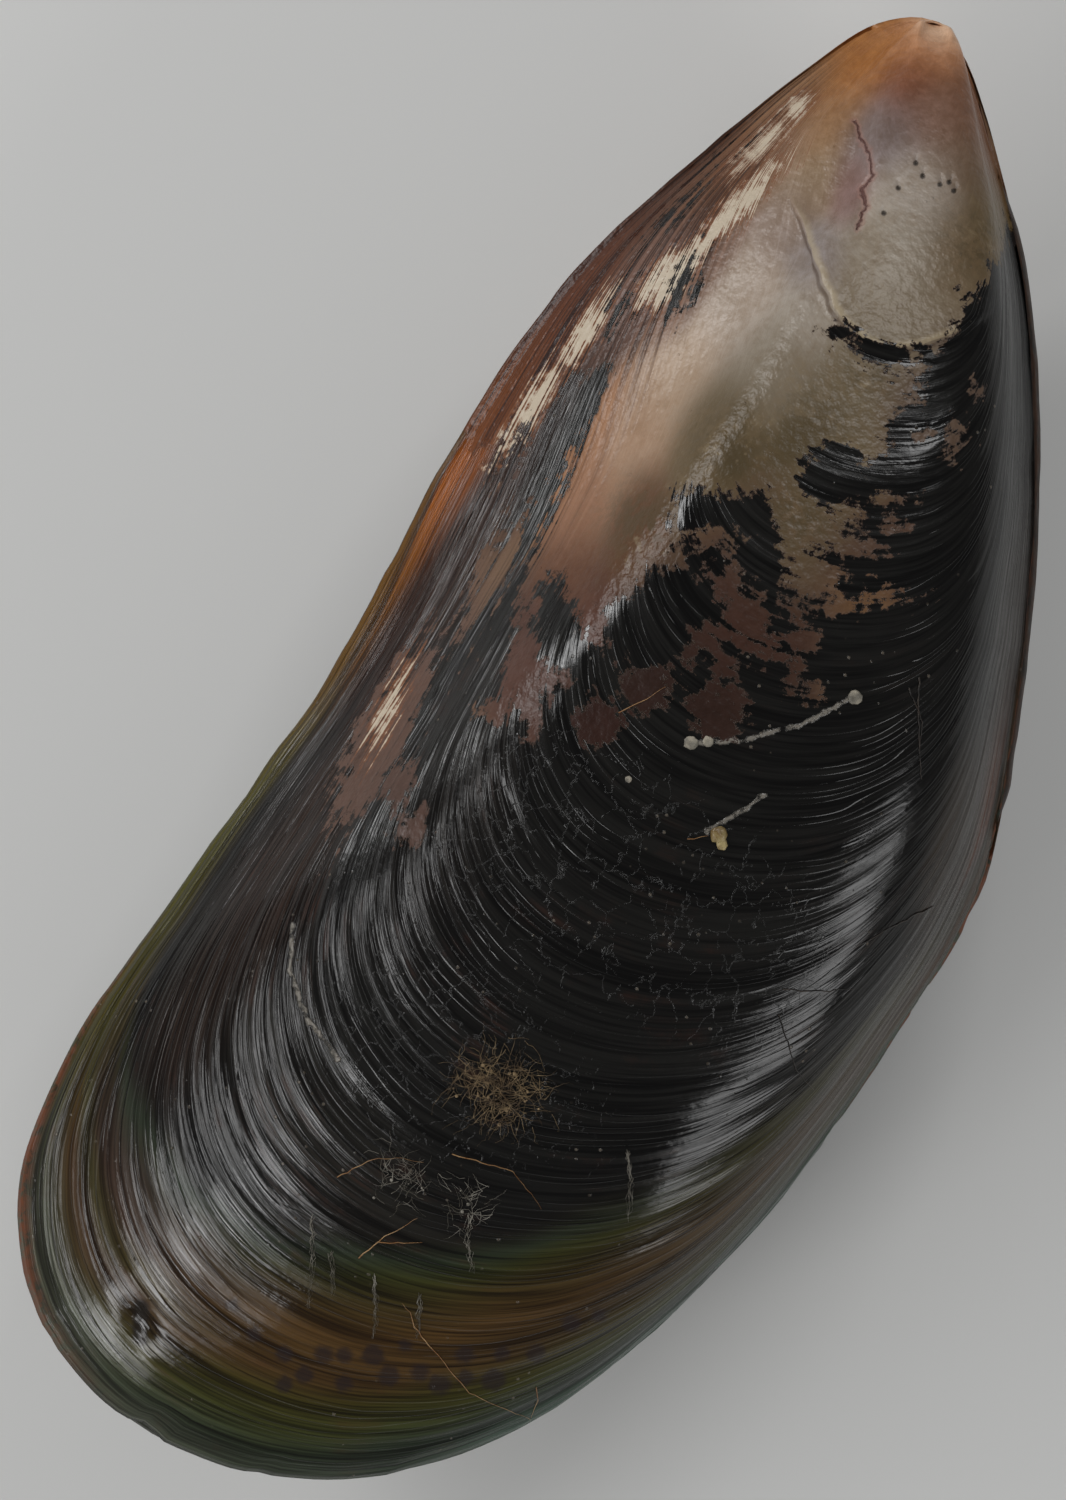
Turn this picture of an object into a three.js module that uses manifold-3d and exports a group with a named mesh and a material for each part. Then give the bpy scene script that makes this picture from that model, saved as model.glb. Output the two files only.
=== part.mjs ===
// Mussel shell, closed and lying on its right valve. Millimetres, +Z up.
// +X runs from the beaks to the rear margin, +Y to the hinge side. The seam between the valves
// is level, and the origin is on the surface the shell rests on, under the middle of its box.
import * as THREE from "three";
import { ParametricGeometry } from "three/addons/geometries/ParametricGeometry.js";
import { mergeVertices } from "three/addons/utils/BufferGeometryUtils.js";
import Module from "manifold-3d";

const LENGTH = 120; // beaks to rear margin

// How a valve grew. Stage 1 is today's margin; the valve at stage s was s times as long.
const TIPPING = 0.53; // radians that a young margin is tipped up, for each unit of growth since
const CURL = 0.1; // extra tipping that winds up the beak, for each natural unit of growth
const HINGE_TURN = (22 * Math.PI) / 180; // how far the youngest margins are turned to the hinge
const YOUNG_WIDENING = 0.32; // the youngest margins are this much wider for their length
const TIPPING_AXIS = (-6 * Math.PI) / 180; // turn of the axis that the margins tip about
const HINGE_LEAN = 0.25; // the hinge wall leans in by this much of its height
const SHOULDER = 3.5; // softness of the shoulder above the hinge wall
const SHOULDER_FROM = 20; // distance from the beak where the shoulder is fully soft

// The inside is the outside shrunk towards a point near the rear, so the wall is thickest at
// the beak.
const WALL_CENTRE = new THREE.Vector3(95, 4, 0);
const WALL_SHRINK = new THREE.Vector3(0.957, 0.945, 0.925);

const SEAM = 0.3; // gap between the valves all round
const MISMATCH = (0.2 * Math.PI) / 180; // the right valve sits this far round, towards the hinge
const REST_CUT = 0.22; // depth of the worn flat that the shell rests on

// The ligament fills a slot between the hinge margins of the valves.
const LIGAMENT_FROM = 9; // distance of its front end from the beaks
const LIGAMENT_TO = 48;
const LIGAMENT_HEIGHT = 2.2;
const LIGAMENT_DEPTH = 2.4; // inwards from its outer face
const LIGAMENT_PROUD = 0.5; // stands out past the hinge margins
const SLOT_SPARE = 1; // the slot runs this far past each end of the ligament
const SLOT_RAMP = 3; // and then closes over this length

const AROUND = 60; // facets round the margin
const BEAK_CROWDING = 0.3; // facets are this much shorter at the beak, and longer at the rear
const OUTER_ROWS = 20; // growth stages on the outside
const INNER_ROWS = 13; // growth stages on the inside
const ROW_PACKING = 1.45; // rows crowd together towards the beak
const LIGAMENT_STEPS = 20;

// The margin seen from above: from the beak along the hinge, round the rear, and back along
// the byssus side.
const MARGIN = [
  [0, 0],
  [1.1, 3.0],
  [5.8, 8.3],
  [15, 16.7],
  [28, 24.8],
  [42, 31.2],
  [54, 35.2],
  [68, 35.2],
  [82, 33.8],
  [95, 30.6],
  [106, 25.6],
  [114.5, 18.1],
  [119.3, 8],
  [119.6, -2.5],
  [116, -10.2],
  [109, -15.4],
  [99, -17.3],
  [84, -16.3],
  [63, -14.5],
  [45, -15.1],
  [30, -13.9],
  [17, -9.9],
  [8, -6.4],
  [2.2, -3.4],
];
const HINGE_SIDE_SHARE = 0.49; // of the way round, from the beak to the rear end
const HINGE_SIDE_STEPS = 200;

const UP = new THREE.Vector3(0, 0, 1);

const marginCurve = new THREE.CatmullRomCurve3(
  MARGIN.map(([x, y]) => new THREE.Vector3(x, y, 0)),
  true,
  "centripetal",
);
marginCurve.arcLengthDivisions = 800;

// The point of the margin at each facet corner, closer together at the beak.
function marginPoint(corner) {
  const turn = (corner % AROUND) / AROUND;
  const crowding = (BEAK_CROWDING * Math.sin(2 * Math.PI * turn)) / (2 * Math.PI);
  return marginCurve.getPointAt(turn - crowding);
}

const marginPoints = Array.from({ length: AROUND + 1 }, (_, corner) => marginPoint(corner));
const hingeLine = Array.from({ length: HINGE_SIDE_STEPS + 1 }, (_, i) =>
  marginCurve.getPointAt((HINGE_SIDE_SHARE * i) / HINGE_SIDE_STEPS),
);

// Y of the hinge side of the margin, at a distance x from the beak.
function hingeAt(x) {
  const beyond = hingeLine.findIndex((p) => p.x > x);
  const next = beyond > 0 ? beyond : HINGE_SIDE_STEPS;
  const [a, b] = [hingeLine[next - 1], hingeLine[next]];
  return THREE.MathUtils.mapLinear(x, a.x, b.x, a.y, b.y);
}

// A point of the margin as it was at a growth stage, tipped up out of the seam and turned.
function stagePoint(margin, stage) {
  const growth = 1 - stage;
  const tip = TIPPING * growth - CURL * Math.log(stage);
  const flat = margin.clone().applyAxisAngle(UP, -TIPPING_AXIS);
  const point = new THREE.Vector3(
    stage * flat.x * Math.cos(tip),
    stage * flat.y * (1 + YOUNG_WIDENING * growth),
    stage * flat.x * Math.sin(tip),
  );
  point.applyAxisAngle(UP, TIPPING_AXIS + HINGE_TURN * growth);
  const softness = SHOULDER * growth * Math.min(point.length() / SHOULDER_FROM, 1);
  return softness > 0 ? heldByHinge(point, softness) : point;
}

// The hinge line never moved outwards, so young margins are held inside it, and a soft
// shoulder joins them to the hinge wall.
function heldByHinge(point, softness) {
  const limit = hingeAt(Math.max(point.x, 0)) - HINGE_LEAN * point.z;
  const over = (point.y - limit) / softness;
  if (over > -30) point.y = limit - softness * Math.log1p(Math.exp(-over));
  return point;
}

function innerPoint(outer) {
  return outer.clone().sub(WALL_CENTRE).multiply(WALL_SHRINK).add(WALL_CENTRE);
}

// How far the margin is lifted at a margin point, to leave the slot for the ligament.
function slotLift(margin) {
  if (margin.y <= 0) return 0;
  const front = LIGAMENT_FROM - SLOT_SPARE;
  const back = LIGAMENT_TO + SLOT_SPARE;
  const opening = THREE.MathUtils.smoothstep(margin.x, front - SLOT_RAMP, front);
  const closing = THREE.MathUtils.smoothstep(margin.x, back, back + SLOT_RAMP);
  return (LIGAMENT_HEIGHT / 2 + SEAM / 2) * (opening - closing);
}

// The left valve as a closed bowl over the seam: its surface runs up the outside from the beak
// to the margin, and back up the inside.
function valveGeometry() {
  const rows = OUTER_ROWS + INNER_ROWS + 1;
  const surface = (u, v, target) => {
    const row = Math.round(v * rows);
    const outside = row <= OUTER_ROWS;
    const share = outside ? row / OUTER_ROWS : (rows - row) / INNER_ROWS;
    const stage = Math.pow(share, ROW_PACKING);
    const margin = marginPoints[Math.round(u * AROUND)];
    const point = stage > 0 ? stagePoint(margin, stage) : new THREE.Vector3();
    target.copy(outside ? point : innerPoint(point));
    target.z = Math.hypot(target.z, slotLift(margin) * stage) + SEAM / 2;
  };
  return merged(new ParametricGeometry(surface, AROUND, rows));
}

// Shares the vertices, and drops the faces that close up to a line at the beak.
function merged(geometry) {
  geometry.deleteAttribute("normal");
  geometry.deleteAttribute("uv");
  const shared = mergeVertices(geometry, 1e-3);
  const corners = shared.index.array;
  const kept = [];
  for (let i = 0; i < corners.length; i += 3) {
    const [a, b, c] = corners.slice(i, i + 3);
    if (a !== b && b !== c && c !== a) kept.push(a, b, c);
  }
  return shared.setIndex(kept);
}

// The other valve: mirrored in the seam, its faces turned back to point out, and the whole
// turned a little about its rear end.
function oppositeValve(geometry) {
  const mirrored = geometry.clone().scale(1, 1, -1);
  mirrored.setIndex(Array.from(mirrored.index.array).reverse());
  return mirrored.translate(-LENGTH, 0, 0).rotateZ(-MISMATCH).translate(LENGTH, 0, 0);
}

// A strip along the hinge line with a rounded outer face.
function ligamentGeometry() {
  const path = [];
  for (let i = 0; i <= LIGAMENT_STEPS; i++) {
    const x = THREE.MathUtils.lerp(LIGAMENT_FROM, LIGAMENT_TO, i / LIGAMENT_STEPS);
    path.push(new THREE.Vector3(x, hingeAt(x), 0));
  }
  const half = LIGAMENT_HEIGHT / 2;
  const section = new THREE.Shape();
  section.moveTo(half, LIGAMENT_PROUD - LIGAMENT_DEPTH);
  section.lineTo(half, 0);
  section.absellipse(0, 0, half, LIGAMENT_PROUD, 0, Math.PI);
  section.lineTo(-half, LIGAMENT_PROUD - LIGAMENT_DEPTH);
  const strip = new THREE.ExtrudeGeometry(section, {
    steps: LIGAMENT_STEPS,
    curveSegments: 6,
    extrudePath: new THREE.CatmullRomCurve3(path),
  });
  return merged(strip);
}

function solid(geometry) {
  return new wasm.Manifold(
    new wasm.Mesh({
      numProp: 3,
      vertProperties: new Float32Array(geometry.attributes.position.array),
      triVerts: new Uint32Array(geometry.index.array),
    }),
  );
}

function geometryOf(manifold) {
  const mesh = manifold.getMesh();
  return new THREE.BufferGeometry()
    .setAttribute("position", new THREE.BufferAttribute(mesh.vertProperties.slice(), 3))
    .setIndex(new THREE.BufferAttribute(mesh.triVerts.slice(), 1));
}

// What is left of a solid above a height.
function cutFlatAt(height, geometry) {
  const below = new THREE.BoxGeometry(3 * LENGTH, LENGTH, LENGTH);
  below.translate(0, 0, height - LENGTH / 2);
  return geometryOf(solid(geometry).subtract(solid(merged(below))));
}

function named(name, geometry, material) {
  const mesh = new THREE.Mesh(geometry, material);
  mesh.name = name;
  return mesh;
}

const wasm = await Module();
wasm.setup();

const skin = new THREE.MeshStandardMaterial({ color: 0x1d1c1a, roughness: 0.35, metalness: 0 });
const horn = new THREE.MeshStandardMaterial({ color: 0x2a1a10, roughness: 0.6, metalness: 0 });

const leftShape = valveGeometry();
const rightShape = oppositeValve(leftShape);
rightShape.computeBoundingBox();
const restHeight = rightShape.boundingBox.min.z + REST_CUT;

const shell = new THREE.Group();
shell.add(named("left_valve", leftShape, skin));
shell.add(named("right_valve", cutFlatAt(restHeight, rightShape), skin));
shell.add(named("ligament", ligamentGeometry(), horn));

const middle = new THREE.Box3().setFromObject(shell).getCenter(new THREE.Vector3());
shell.position.set(-middle.x, -middle.y, -restHeight);

export default shell;
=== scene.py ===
# %% [markdown]
# # A mussel shell
# A mussel builds its shell by adding a thin line to the margin, over and over, for years. So the
# shape and the pattern are one thing: every ridge, stripe and colour band is an old margin. This
# lesson makes each valve the same way. One outline is shrunk, turned and tipped up stage by stage,
# and the pattern is painted in the two directions of growth: round the margin and along the age.

# %% Load the frame
import math
import random
from types import SimpleNamespace

import bmesh
import bpy
import numpy as np
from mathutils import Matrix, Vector, noise
from mathutils.bvhtree import BVHTree


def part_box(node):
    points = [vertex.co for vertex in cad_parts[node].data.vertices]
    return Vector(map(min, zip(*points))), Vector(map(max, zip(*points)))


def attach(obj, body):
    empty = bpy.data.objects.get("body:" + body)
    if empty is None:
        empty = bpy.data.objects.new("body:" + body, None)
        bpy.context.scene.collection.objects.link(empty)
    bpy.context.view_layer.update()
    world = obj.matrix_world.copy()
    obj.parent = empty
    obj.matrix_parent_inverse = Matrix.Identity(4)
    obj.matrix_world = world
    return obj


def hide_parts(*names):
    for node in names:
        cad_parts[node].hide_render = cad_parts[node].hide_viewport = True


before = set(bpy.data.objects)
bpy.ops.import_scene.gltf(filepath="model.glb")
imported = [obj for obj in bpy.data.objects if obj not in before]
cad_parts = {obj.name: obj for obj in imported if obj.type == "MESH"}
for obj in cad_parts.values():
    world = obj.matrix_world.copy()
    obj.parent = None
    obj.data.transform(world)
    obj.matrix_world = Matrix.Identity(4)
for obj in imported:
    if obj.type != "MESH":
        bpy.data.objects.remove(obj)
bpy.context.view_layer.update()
MM = 0.001
left_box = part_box("left_valve")

# %% [markdown]
# ## The margin and how it grew
# The margin is a closed curve through a few points, in millimetres from the beak, with the hinge
# side towards +Y. It could be drawn as a curve object, but numbers in an array are easier here,
# because thousands of shrunken copies of it make the valve.

# %% The outline of the margin
MARGIN = np.array([
    (0, 0), (1.1, 3.0), (5.8, 8.3), (15, 16.7), (28, 24.8), (42, 31.2), (54, 35.2), (68, 35.2),
    (82, 33.8), (95, 30.6), (106, 25.6), (114.5, 18.1), (119.3, 8), (119.6, -2.5), (116, -10.2),
    (109, -15.4), (99, -17.3), (84, -16.3), (63, -14.5), (45, -15.1), (30, -13.9), (17, -9.9),
    (8, -6.4), (2.2, -3.4)], float)


def smooth_closed_curve(points, per_span=60):
    """A centripetal Catmull-Rom curve through the points, as a dense closed line."""
    before, after, beyond = (np.roll(points, n, axis=0) for n in (1, -1, -2))
    steps = [np.sqrt(np.linalg.norm(b - a, axis=1))[:, None]
             for a, b in ((before, points), (points, after), (after, beyond))]
    d0, d1, d2 = steps
    leave = ((points - before) / d0 - (after - before) / (d0 + d1) + (after - points) / d1) * d1
    arrive = ((after - points) / d1 - (beyond - points) / (d1 + d2) + (beyond - after) / d2) * d1
    t = np.linspace(0, 1, per_span, endpoint=False)[None, :, None]
    a, b, m, n = (v[:, None, :] for v in (points, after, leave, arrive))
    line = a + m * t + (3 * (b - a) - 2 * m - n) * t ** 2 + (2 * (a - b) + m + n) * t ** 3
    line = line.reshape(-1, 2)
    return np.vstack([line, line[:1]])


margin_line = smooth_closed_curve(MARGIN)
margin_length = np.concatenate([[0], np.cumsum(np.linalg.norm(np.diff(margin_line, axis=0), axis=1))])
hinge_line = margin_line[:margin_line[:, 0].argmax() + 1]
print("margin:", round(float(margin_length[-1]), 1), "mm round")


def margin_at(turn):
    """Points of the margin at shares of the way round, 0 to 1."""
    way = np.asarray(turn) * margin_length[-1]
    return np.stack([np.interp(way, margin_length, margin_line[:, i]) for i in (0, 1)], -1)


# %% [markdown]
# Each stage of growth is that outline made smaller, a little wider for its length, turned towards
# the hinge and tipped up out of the seam. The hinge itself never moved, so older margins are held
# inside it with a soft shoulder. These numbers are the ones the solid valves were made with, but
# for SHOULDER_FROM: here the shoulder is soft from nearer the beak, so that no crease shows there.

# %% The growth of a valve
TIPPING = 0.53  # radians that a young margin is tipped up, for each unit of growth since
CURL = 0.1  # extra tipping that winds up the beak
HINGE_TURN = math.radians(22)  # turn of the youngest margins towards the hinge
YOUNG_WIDENING = 0.32
TIPPING_AXIS = math.radians(-6)
HINGE_LEAN = 0.25  # the hinge wall leans in by this much of its height
SHOULDER = 3.5  # softness of the shoulder over the hinge wall, in mm
SHOULDER_FROM = 12.0  # distance from the beak where it is fully soft
SEAM = 0.3  # gap between the valves
WALL_CENTRE = np.array([95.0, 4.0, 0.0])  # the inside is shrunk towards this point
WALL_SHRINK = np.array([0.957, 0.945, 0.925])
MISMATCH = math.radians(0.2)  # the right valve sits this far round
VALVE_LENGTH = 120.0


def turned(x, y, angle):
    return x * np.cos(angle) - y * np.sin(angle), x * np.sin(angle) + y * np.cos(angle)


def stage_points(turn, stage):
    """The outside of the valve, in millimetres over the seam, for arrays of turn and stage."""
    stage = np.maximum(stage, 1e-6)
    growth = 1 - stage
    margin = margin_at(turn)
    along, across = turned(margin[..., 0], margin[..., 1], -TIPPING_AXIS)
    tip = TIPPING * growth - CURL * np.log(stage)
    along, up = stage * along * np.cos(tip), stage * along * np.sin(tip)
    across = stage * across * (1 + YOUNG_WIDENING * growth)
    x, y = turned(along, across, TIPPING_AXIS + HINGE_TURN * growth)
    far = np.sqrt(x ** 2 + y ** 2 + up ** 2)
    softness = SHOULDER * growth * np.minimum(far / SHOULDER_FROM, 1) + 1e-9
    limit = np.interp(x, hinge_line[:, 0], hinge_line[:, 1]) - HINGE_LEAN * up
    over = np.clip((y - limit) / softness, -30, 30)
    held = limit - softness * (np.logaddexp(0, -over))
    y = np.where((over > -30) & (growth > 0), held, y)
    return np.stack([x, y, up], -1)


# %% [markdown]
# ## Relief
# The skin isn't smooth. The animal lays down shell in fits and starts, so the outside is made of
# small steps, each one the edge of a day or a season that overlaps the next. A string of random
# step heights is read off along the age of the shell, so the steps stay parallel to the margins.
# A few bigger ledges and dents are listed one by one. All of it is real height in the mesh, because
# a bump in a material alone leaves the outline smooth.

# %% Smooth random heights, and a smooth step
def wavering(position, seed):
    """Smooth random heights from -1 to 1, one for each whole number, read between them."""
    heights = np.random.default_rng(seed).uniform(-1, 1, 4096)
    low = np.floor(position).astype(int)
    part = position - low
    part = part * part * (3 - 2 * part)
    return heights[low % 4096] * (1 - part) + heights[(low + 1) % 4096] * part


def between(value, low, high):
    """0 below low, 1 above high, and a smooth rise between."""
    part = np.clip((value - low) / (high - low), 0, 1)
    return part * part * (3 - 2 * part)


def window(value, low, high, soft):
    """1 between low and high, with soft ends."""
    return between(value, low - soft, low + soft) * (1 - between(value, high - soft, high + soft))


# %% [markdown]
# Marks on the shell are drawn in millimetres from the beak: a line by its corners, a patch by its
# outline or as an oval. These helpers turn each into a smooth field on the surface.

# %% Fields round lines, outlines and ovals
def distance_to_line(x, y, corners):
    nearest = np.full(x.shape, 1e9)
    for (ax, ay), (bx, by) in zip(corners[:-1], corners[1:]):
        run_x, run_y = bx - ax, by - ay
        share = ((x - ax) * run_x + (y - ay) * run_y) / (run_x ** 2 + run_y ** 2)
        share = np.clip(share, 0, 1)
        nearest = np.minimum(nearest, np.hypot(x - ax - share * run_x, y - ay - share * run_y))
    return nearest


def depth_inside(x, y, outline):
    """Millimetres inside a closed outline, and less than 0 outside it."""
    closed = outline + outline[:1]
    inside = np.zeros(x.shape, bool)
    for (ax, ay), (bx, by) in zip(closed[:-1], closed[1:]):
        crosses = (ay > y) != (by > y)
        inside ^= crosses & (x < ax + (y - ay) * (bx - ax) / (by - ay + 1e-12))
    return distance_to_line(x, y, closed) * np.where(inside, 1, -1)


def depth_in_oval(x, y, oval):
    """About how many millimetres inside an oval: middle, half sizes and the angle of its length."""
    middle_x, middle_y, long_half, short_half, angle = oval
    dx, dy = turned(x - middle_x, y - middle_y, -math.radians(angle))
    return (1 - np.hypot(dx / long_half, dy / short_half)) * min(long_half, short_half)


# %% Steps, ledges and dents
LEDGES = [  # stage, height in mm, and the share of the way round where each begins and ends
    (0.335, 0.05, 0.3, 0.6), (0.497, 0.16, 0.46, 0.56), (0.525, 0.12, 0.47, 0.53),
    (0.6, 0.14, 0.56, 0.64), (0.655, 0.06, 0.38, 0.6), (0.715, 0.1, 0.33, 0.6),
    (0.765, 0.18, 0.55, 0.64), (0.8, 0.08, 0.38, 0.6), (0.835, 0.12, 0.42, 0.66),
    (0.868, 0.1, 0.28, 0.66), (0.905, 0.1, 0.28, 0.68), (0.938, 0.12, 0.24, 0.7),
    (0.962, 0.14, 0.2, 0.72), (0.982, 0.12, 0.2, 0.74)]
DENTS = [  # x, y, half length, half width, angle, depth in mm
    (113, -2.5, 1.5, 0.8, 30, 0.6), (112.4, -2.4, 6, 4.8, 30, -0.4), (14.4, 1.5, 3.2, 1.1, 28, 0.55),
    (16.6, 0.4, 3.4, 1.6, 8, 0.45), (21.3, 0.8, 2.8, 1, 45, 0.35), (19.5, 6, 6, 4.5, 20, -0.45),
    (98, -12, 9, 2.4, -5, 0.3), (46, -2.5, 8, 1.1, 12, 0.18), (90, 16, 8, 2.5, 70, 0.18),
    (70, -4, 12, 1.5, 20, 0.2)]
CAP_OUTLINE = [
    (17, -2.6), (18.3, -1), (20.1, 0.9), (21.9, 2.7), (23.3, 4.3), (24.1, 6), (24.3, 7.6), (23.9, 9.3),
    (22.6, 11), (20.6, 12.6), (18, 14), (15, 15), (4, 15), (-4, 0), (4, -5)]
CAP_LIP = 0.50  # height of the lip
PIT = [(111.9, -3.1), (112.9, -2.6), (114.0, -2.0)]
CRACK = [(9.8, -1.3), (10.9, -0.1), (11.6, 0.9), (13.0, 1.9), (14.3, 1.7), (15.2, 2.6), (17.1, 2.9)]
CHECK_LINES = [
    [(55.5, 11.2), (53.7, 14.1), (50.3, 17.4), (47.1, 19.4)],
    [(60.6, 15.2), (58.4, 16.5), (56.3, 17.4)], [(81.6, -7.4), (84.5, -6), (86.9, -3.2), (88.4, 0.4)]]
PINHOLES = [(10.6, 4.2), (11.2, 5.1), (11.1, 6.5), (10.6, 7.0), (11.0, 7.6), (12.9, 4.0), (15.1, 4.0)]

# %% Sizes of the relief, in millimetres
STEPS_PER_STAGE = 84.0
STEP_HEIGHT = 0.06
LEDGE_FADE = 0.022
CRACK_WIDTH, CRACK_DEPTH = 0.35, 0.12
HOLE_WIDTH, HOLE_DEPTH = 0.2, 0.25


# %% Growth steps and the worn cap
def stepped(age, turn, seed):
    """Shingle-like growth steps, 0 to 1: each rises slowly and drops at its edge."""
    phase = age * STEPS_PER_STAGE + 0.8 * wavering(age * 33, seed)
    step = np.floor(phase)
    part = phase - step
    bold = 0.55 + 0.45 * wavering(step * 1.0 + 0.5, seed + 1)
    local = 0.6 + 0.4 * wavering(turn * 11 + step * 3.7, seed + 2)
    return part ** 1.6 * bold * local


def ridge_strength(turn, stage):
    rear = between(stage, 0.45, 0.75)
    ventral = 0.5 + 0.5 * between(turn, 0.46, 0.56)
    return between(stage, 0.25, 0.35) * (0.08 + 0.92 * rear * ventral)


def drifted(turn, stage, seed):
    """The age as the steps follow it, which wanders a little round the margin."""
    return stage + 0.004 * wavering(turn * 9, seed) + 0.0016 * wavering(turn * 31, seed + 1)


def cap_depth(x, y):
    """Millimetres inside the smooth worn cap of the beak, which ends in a lip."""
    return depth_inside(x, y, CAP_OUTLINE) + 0.10 * wavering(x * 0.9 + y * 0.7, 5)


def lip_window(x, y):
    """1 where the cap ends in a raised lip, and 0 towards the beak, where the lip has worn away."""
    return between(x, 16.5, 19.5) * between(y, -5.0, -2.0) * between(-y, -15.5, -12.5)


# %% Bring the relief together
def relief(turn, stage, x, y, seed):
    """Height of the outer surface over the plain growth shape, in millimetres."""
    age = drifted(turn, stage, seed)
    calm = 1 - np.exp(-((x - PIT[1][0]) ** 2 + (y - PIT[1][1]) ** 2) / 2.6 ** 2)
    height = STEP_HEIGHT * stepped(age, turn, seed + 2) * ridge_strength(turn, stage) * calm
    height += 0.015 * wavering(age * 170, seed + 6) * between(stage, 0.25, 0.4)
    height += 0.10 * wavering(x * 0.13 + wavering(y * 0.1, seed + 8) * 1.5, seed + 9)
    height += 0.06 * wavering(x * 0.31 + y * 0.23, seed + 10) * wavering(y * 0.37 - x * 0.12, seed + 11)
    for ledge, lip, first, last in LEDGES:
        before = np.clip((age - ledge) / LEDGE_FADE, -30, 0)
        edge = np.exp(before) * (1 - between(age, ledge, ledge + 0.004))
        height += lip * edge * window(turn, first, last, 0.03) * calm
    for dent_x, dent_y, reach_x, reach_y, angle, depth in DENTS:
        dx, dy = turned(x - dent_x, y - dent_y, -math.radians(angle))
        height -= depth * np.exp(-(dx / reach_x) ** 2 - (dy / reach_y) ** 2)
    depth = cap_depth(x, y)
    lip = np.exp(-np.maximum(depth, 0) / 2.0) * between(depth, -0.30, 0.05)
    height += CAP_LIP * lip * lip_window(x, y)
    height -= CRACK_DEPTH * np.exp(-(distance_to_line(x, y, CRACK) / CRACK_WIDTH) ** 2)
    for hole_x, hole_y in PINHOLES:
        height -= HOLE_DEPTH * np.exp(-((x - hole_x) ** 2 + (y - hole_y) ** 2) / HOLE_WIDTH ** 2)
    return height * (1 - between(stage, 0.985, 1.0)) * between(stage, 0.01, 0.06)


# %% [markdown]
# ## Where the skin has worn away
# The outer skin is thin and dark. It has worn off the beak and the crest, and frayed into islands
# behind them. The worn patch is drawn by its outline and the islands as small ovals. The mesh
# stores how deep each point lies inside the worn patch, and the material then frays that with
# noise, so the torn edge is fine without a fine mesh.

# %% The worn patch and its islands, in millimetres from the beak
WORN_OUTLINE = [
    (10.6, 13.1), (13.1, 13.6), (14.5, 12.2), (15.4, 13), (17.2, 12.4), (17.5, 11.5), (19, 12.2),
    (20.7, 12.6), (21.9, 11.9), (23.5, 9.6), (24.1, 7.3), (23.9, 5), (24.8, 4.4), (25.3, 6.8),
    (25.1, 9.4), (24, 10.9), (25.3, 12.5), (27.1, 11.7), (28.8, 11.9), (30.6, 13.1), (31.7, 11.6),
    (31, 9.6), (31.9, 8.5), (33.4, 7.5), (35.6, 8), (36.4, 10.3), (35.7, 12.2), (37.5, 12.9),
    (39.2, 11.5), (41.7, 12.3), (41.3, 10.7), (38.1, 8.1), (36.8, 6.5), (38.2, 4.7), (39.5, 2.7),
    (40.6, 1.2), (42.6, 1.8), (41.6, 0.9), (43.8, 3), (44.9, 4.2), (46.1, 2), (48.2, 2.4), (50.3, 0.8),
    (53, 2), (53.2, 0.7), (50.8, -2.1), (49.4, -3.6), (51.1, -4.5), (53.8, -3.2), (56, -1.1),
    (58.9, 0.8), (61.3, 1.1), (58.9, -2.3), (56.2, -3.5), (53, -4.9), (49.5, -5.7), (45.7, -6.2),
    (42.2, -6.8), (38.4, -7.3), (35.9, -7.5), (35.3, -8.7), (36.5, -10), (38.3, -10.2), (42, -11),
    (44.5, -13.4), (40.5, -19.2), (36.8, -17.9), (22, -14.5), (9.7, -9.6), (1.4, -5.7), (-2.9, 0.3),
    (1, 6.9), (7.6, 13.3)]
WORN_ISLANDS = [  # x, y, half length, half width, angle
    (24.5, 11.5, 1.1, 0.7, 30), (26, 12.1, 1, 0.6, 120), (27.6, 14.5, 0.6, 0.6, 120),
    (27.4, 16.6, 1.1, 0.6, 30), (23, 16, 0.4, 0.4, 120), (33.3, 14.4, 1.8, 0.9, 120),
    (35.5, 12.8, 1.6, 0.7, 120), (34.7, 15.8, 1.2, 0.7, 120), (37.6, 14.3, 1.9, 0.9, 120),
    (41.7, 15.6, 1.4, 0.7, 120), (39.7, 17.4, 1.6, 0.5, 120), (43.6, 12.9, 1, 0.8, 120),
    (46.1, 10.3, 1.9, 1.3, 30), (44.4, 7.6, 1.1, 0.7, 30), (48.5, 8.3, 1.1, 0.7, 120),
    (42.2, 4.7, 1.5, 0.7, 120), (45.3, 14.2, 0.7, 0.7, 120), (47.4, 14.8, 0.8, 0.4, 30),
    (48.3, 16.7, 0.7, 0.6, 30), (53.8, 6.2, 1.9, 1.6, 120), (57.6, 4.4, 1.8, 1.6, 30),
    (52.7, 11.3, 2, 1.8, 120), (49.9, 10.5, 0.8, 0.7, 30), (56.4, 0.5, 0.7, 0.7, 120),
    (57.8, 0.2, 0.7, 0.5, 30), (60.7, -2.4, 1, 0.7, 120), (50.2, 7.6, 0.8, 0.5, 30),
    (40.6, 12.7, 1.9, 1.3, 120), (46.6, 12.6, 0.7, 0.6, 30), (66.9, -8.7, 6.8, 1.7, 6),
    (69, -5.9, 1.7, 1.1, 3), (71, -3.4, 1.6, 1.1, -15), (53.8, -7.2, 3.3, 0.7, 9),
    (40.4, -11.5, 4.4, 1, -1), (33.5, -10.8, 3.3, 0.9, -4)]
SKIN_LEFT_ON = [
    (27.3, -6, 1.7, 0.6, 12), (36, -8.4, 1.7, 1, 154), (31, -9.2, 1.8, 0.5, 0),
    (20.5, -9.3, 2.4, 0.5, -14), (24.9, 7.5, 0.5, 2.6, 0)]
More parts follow.
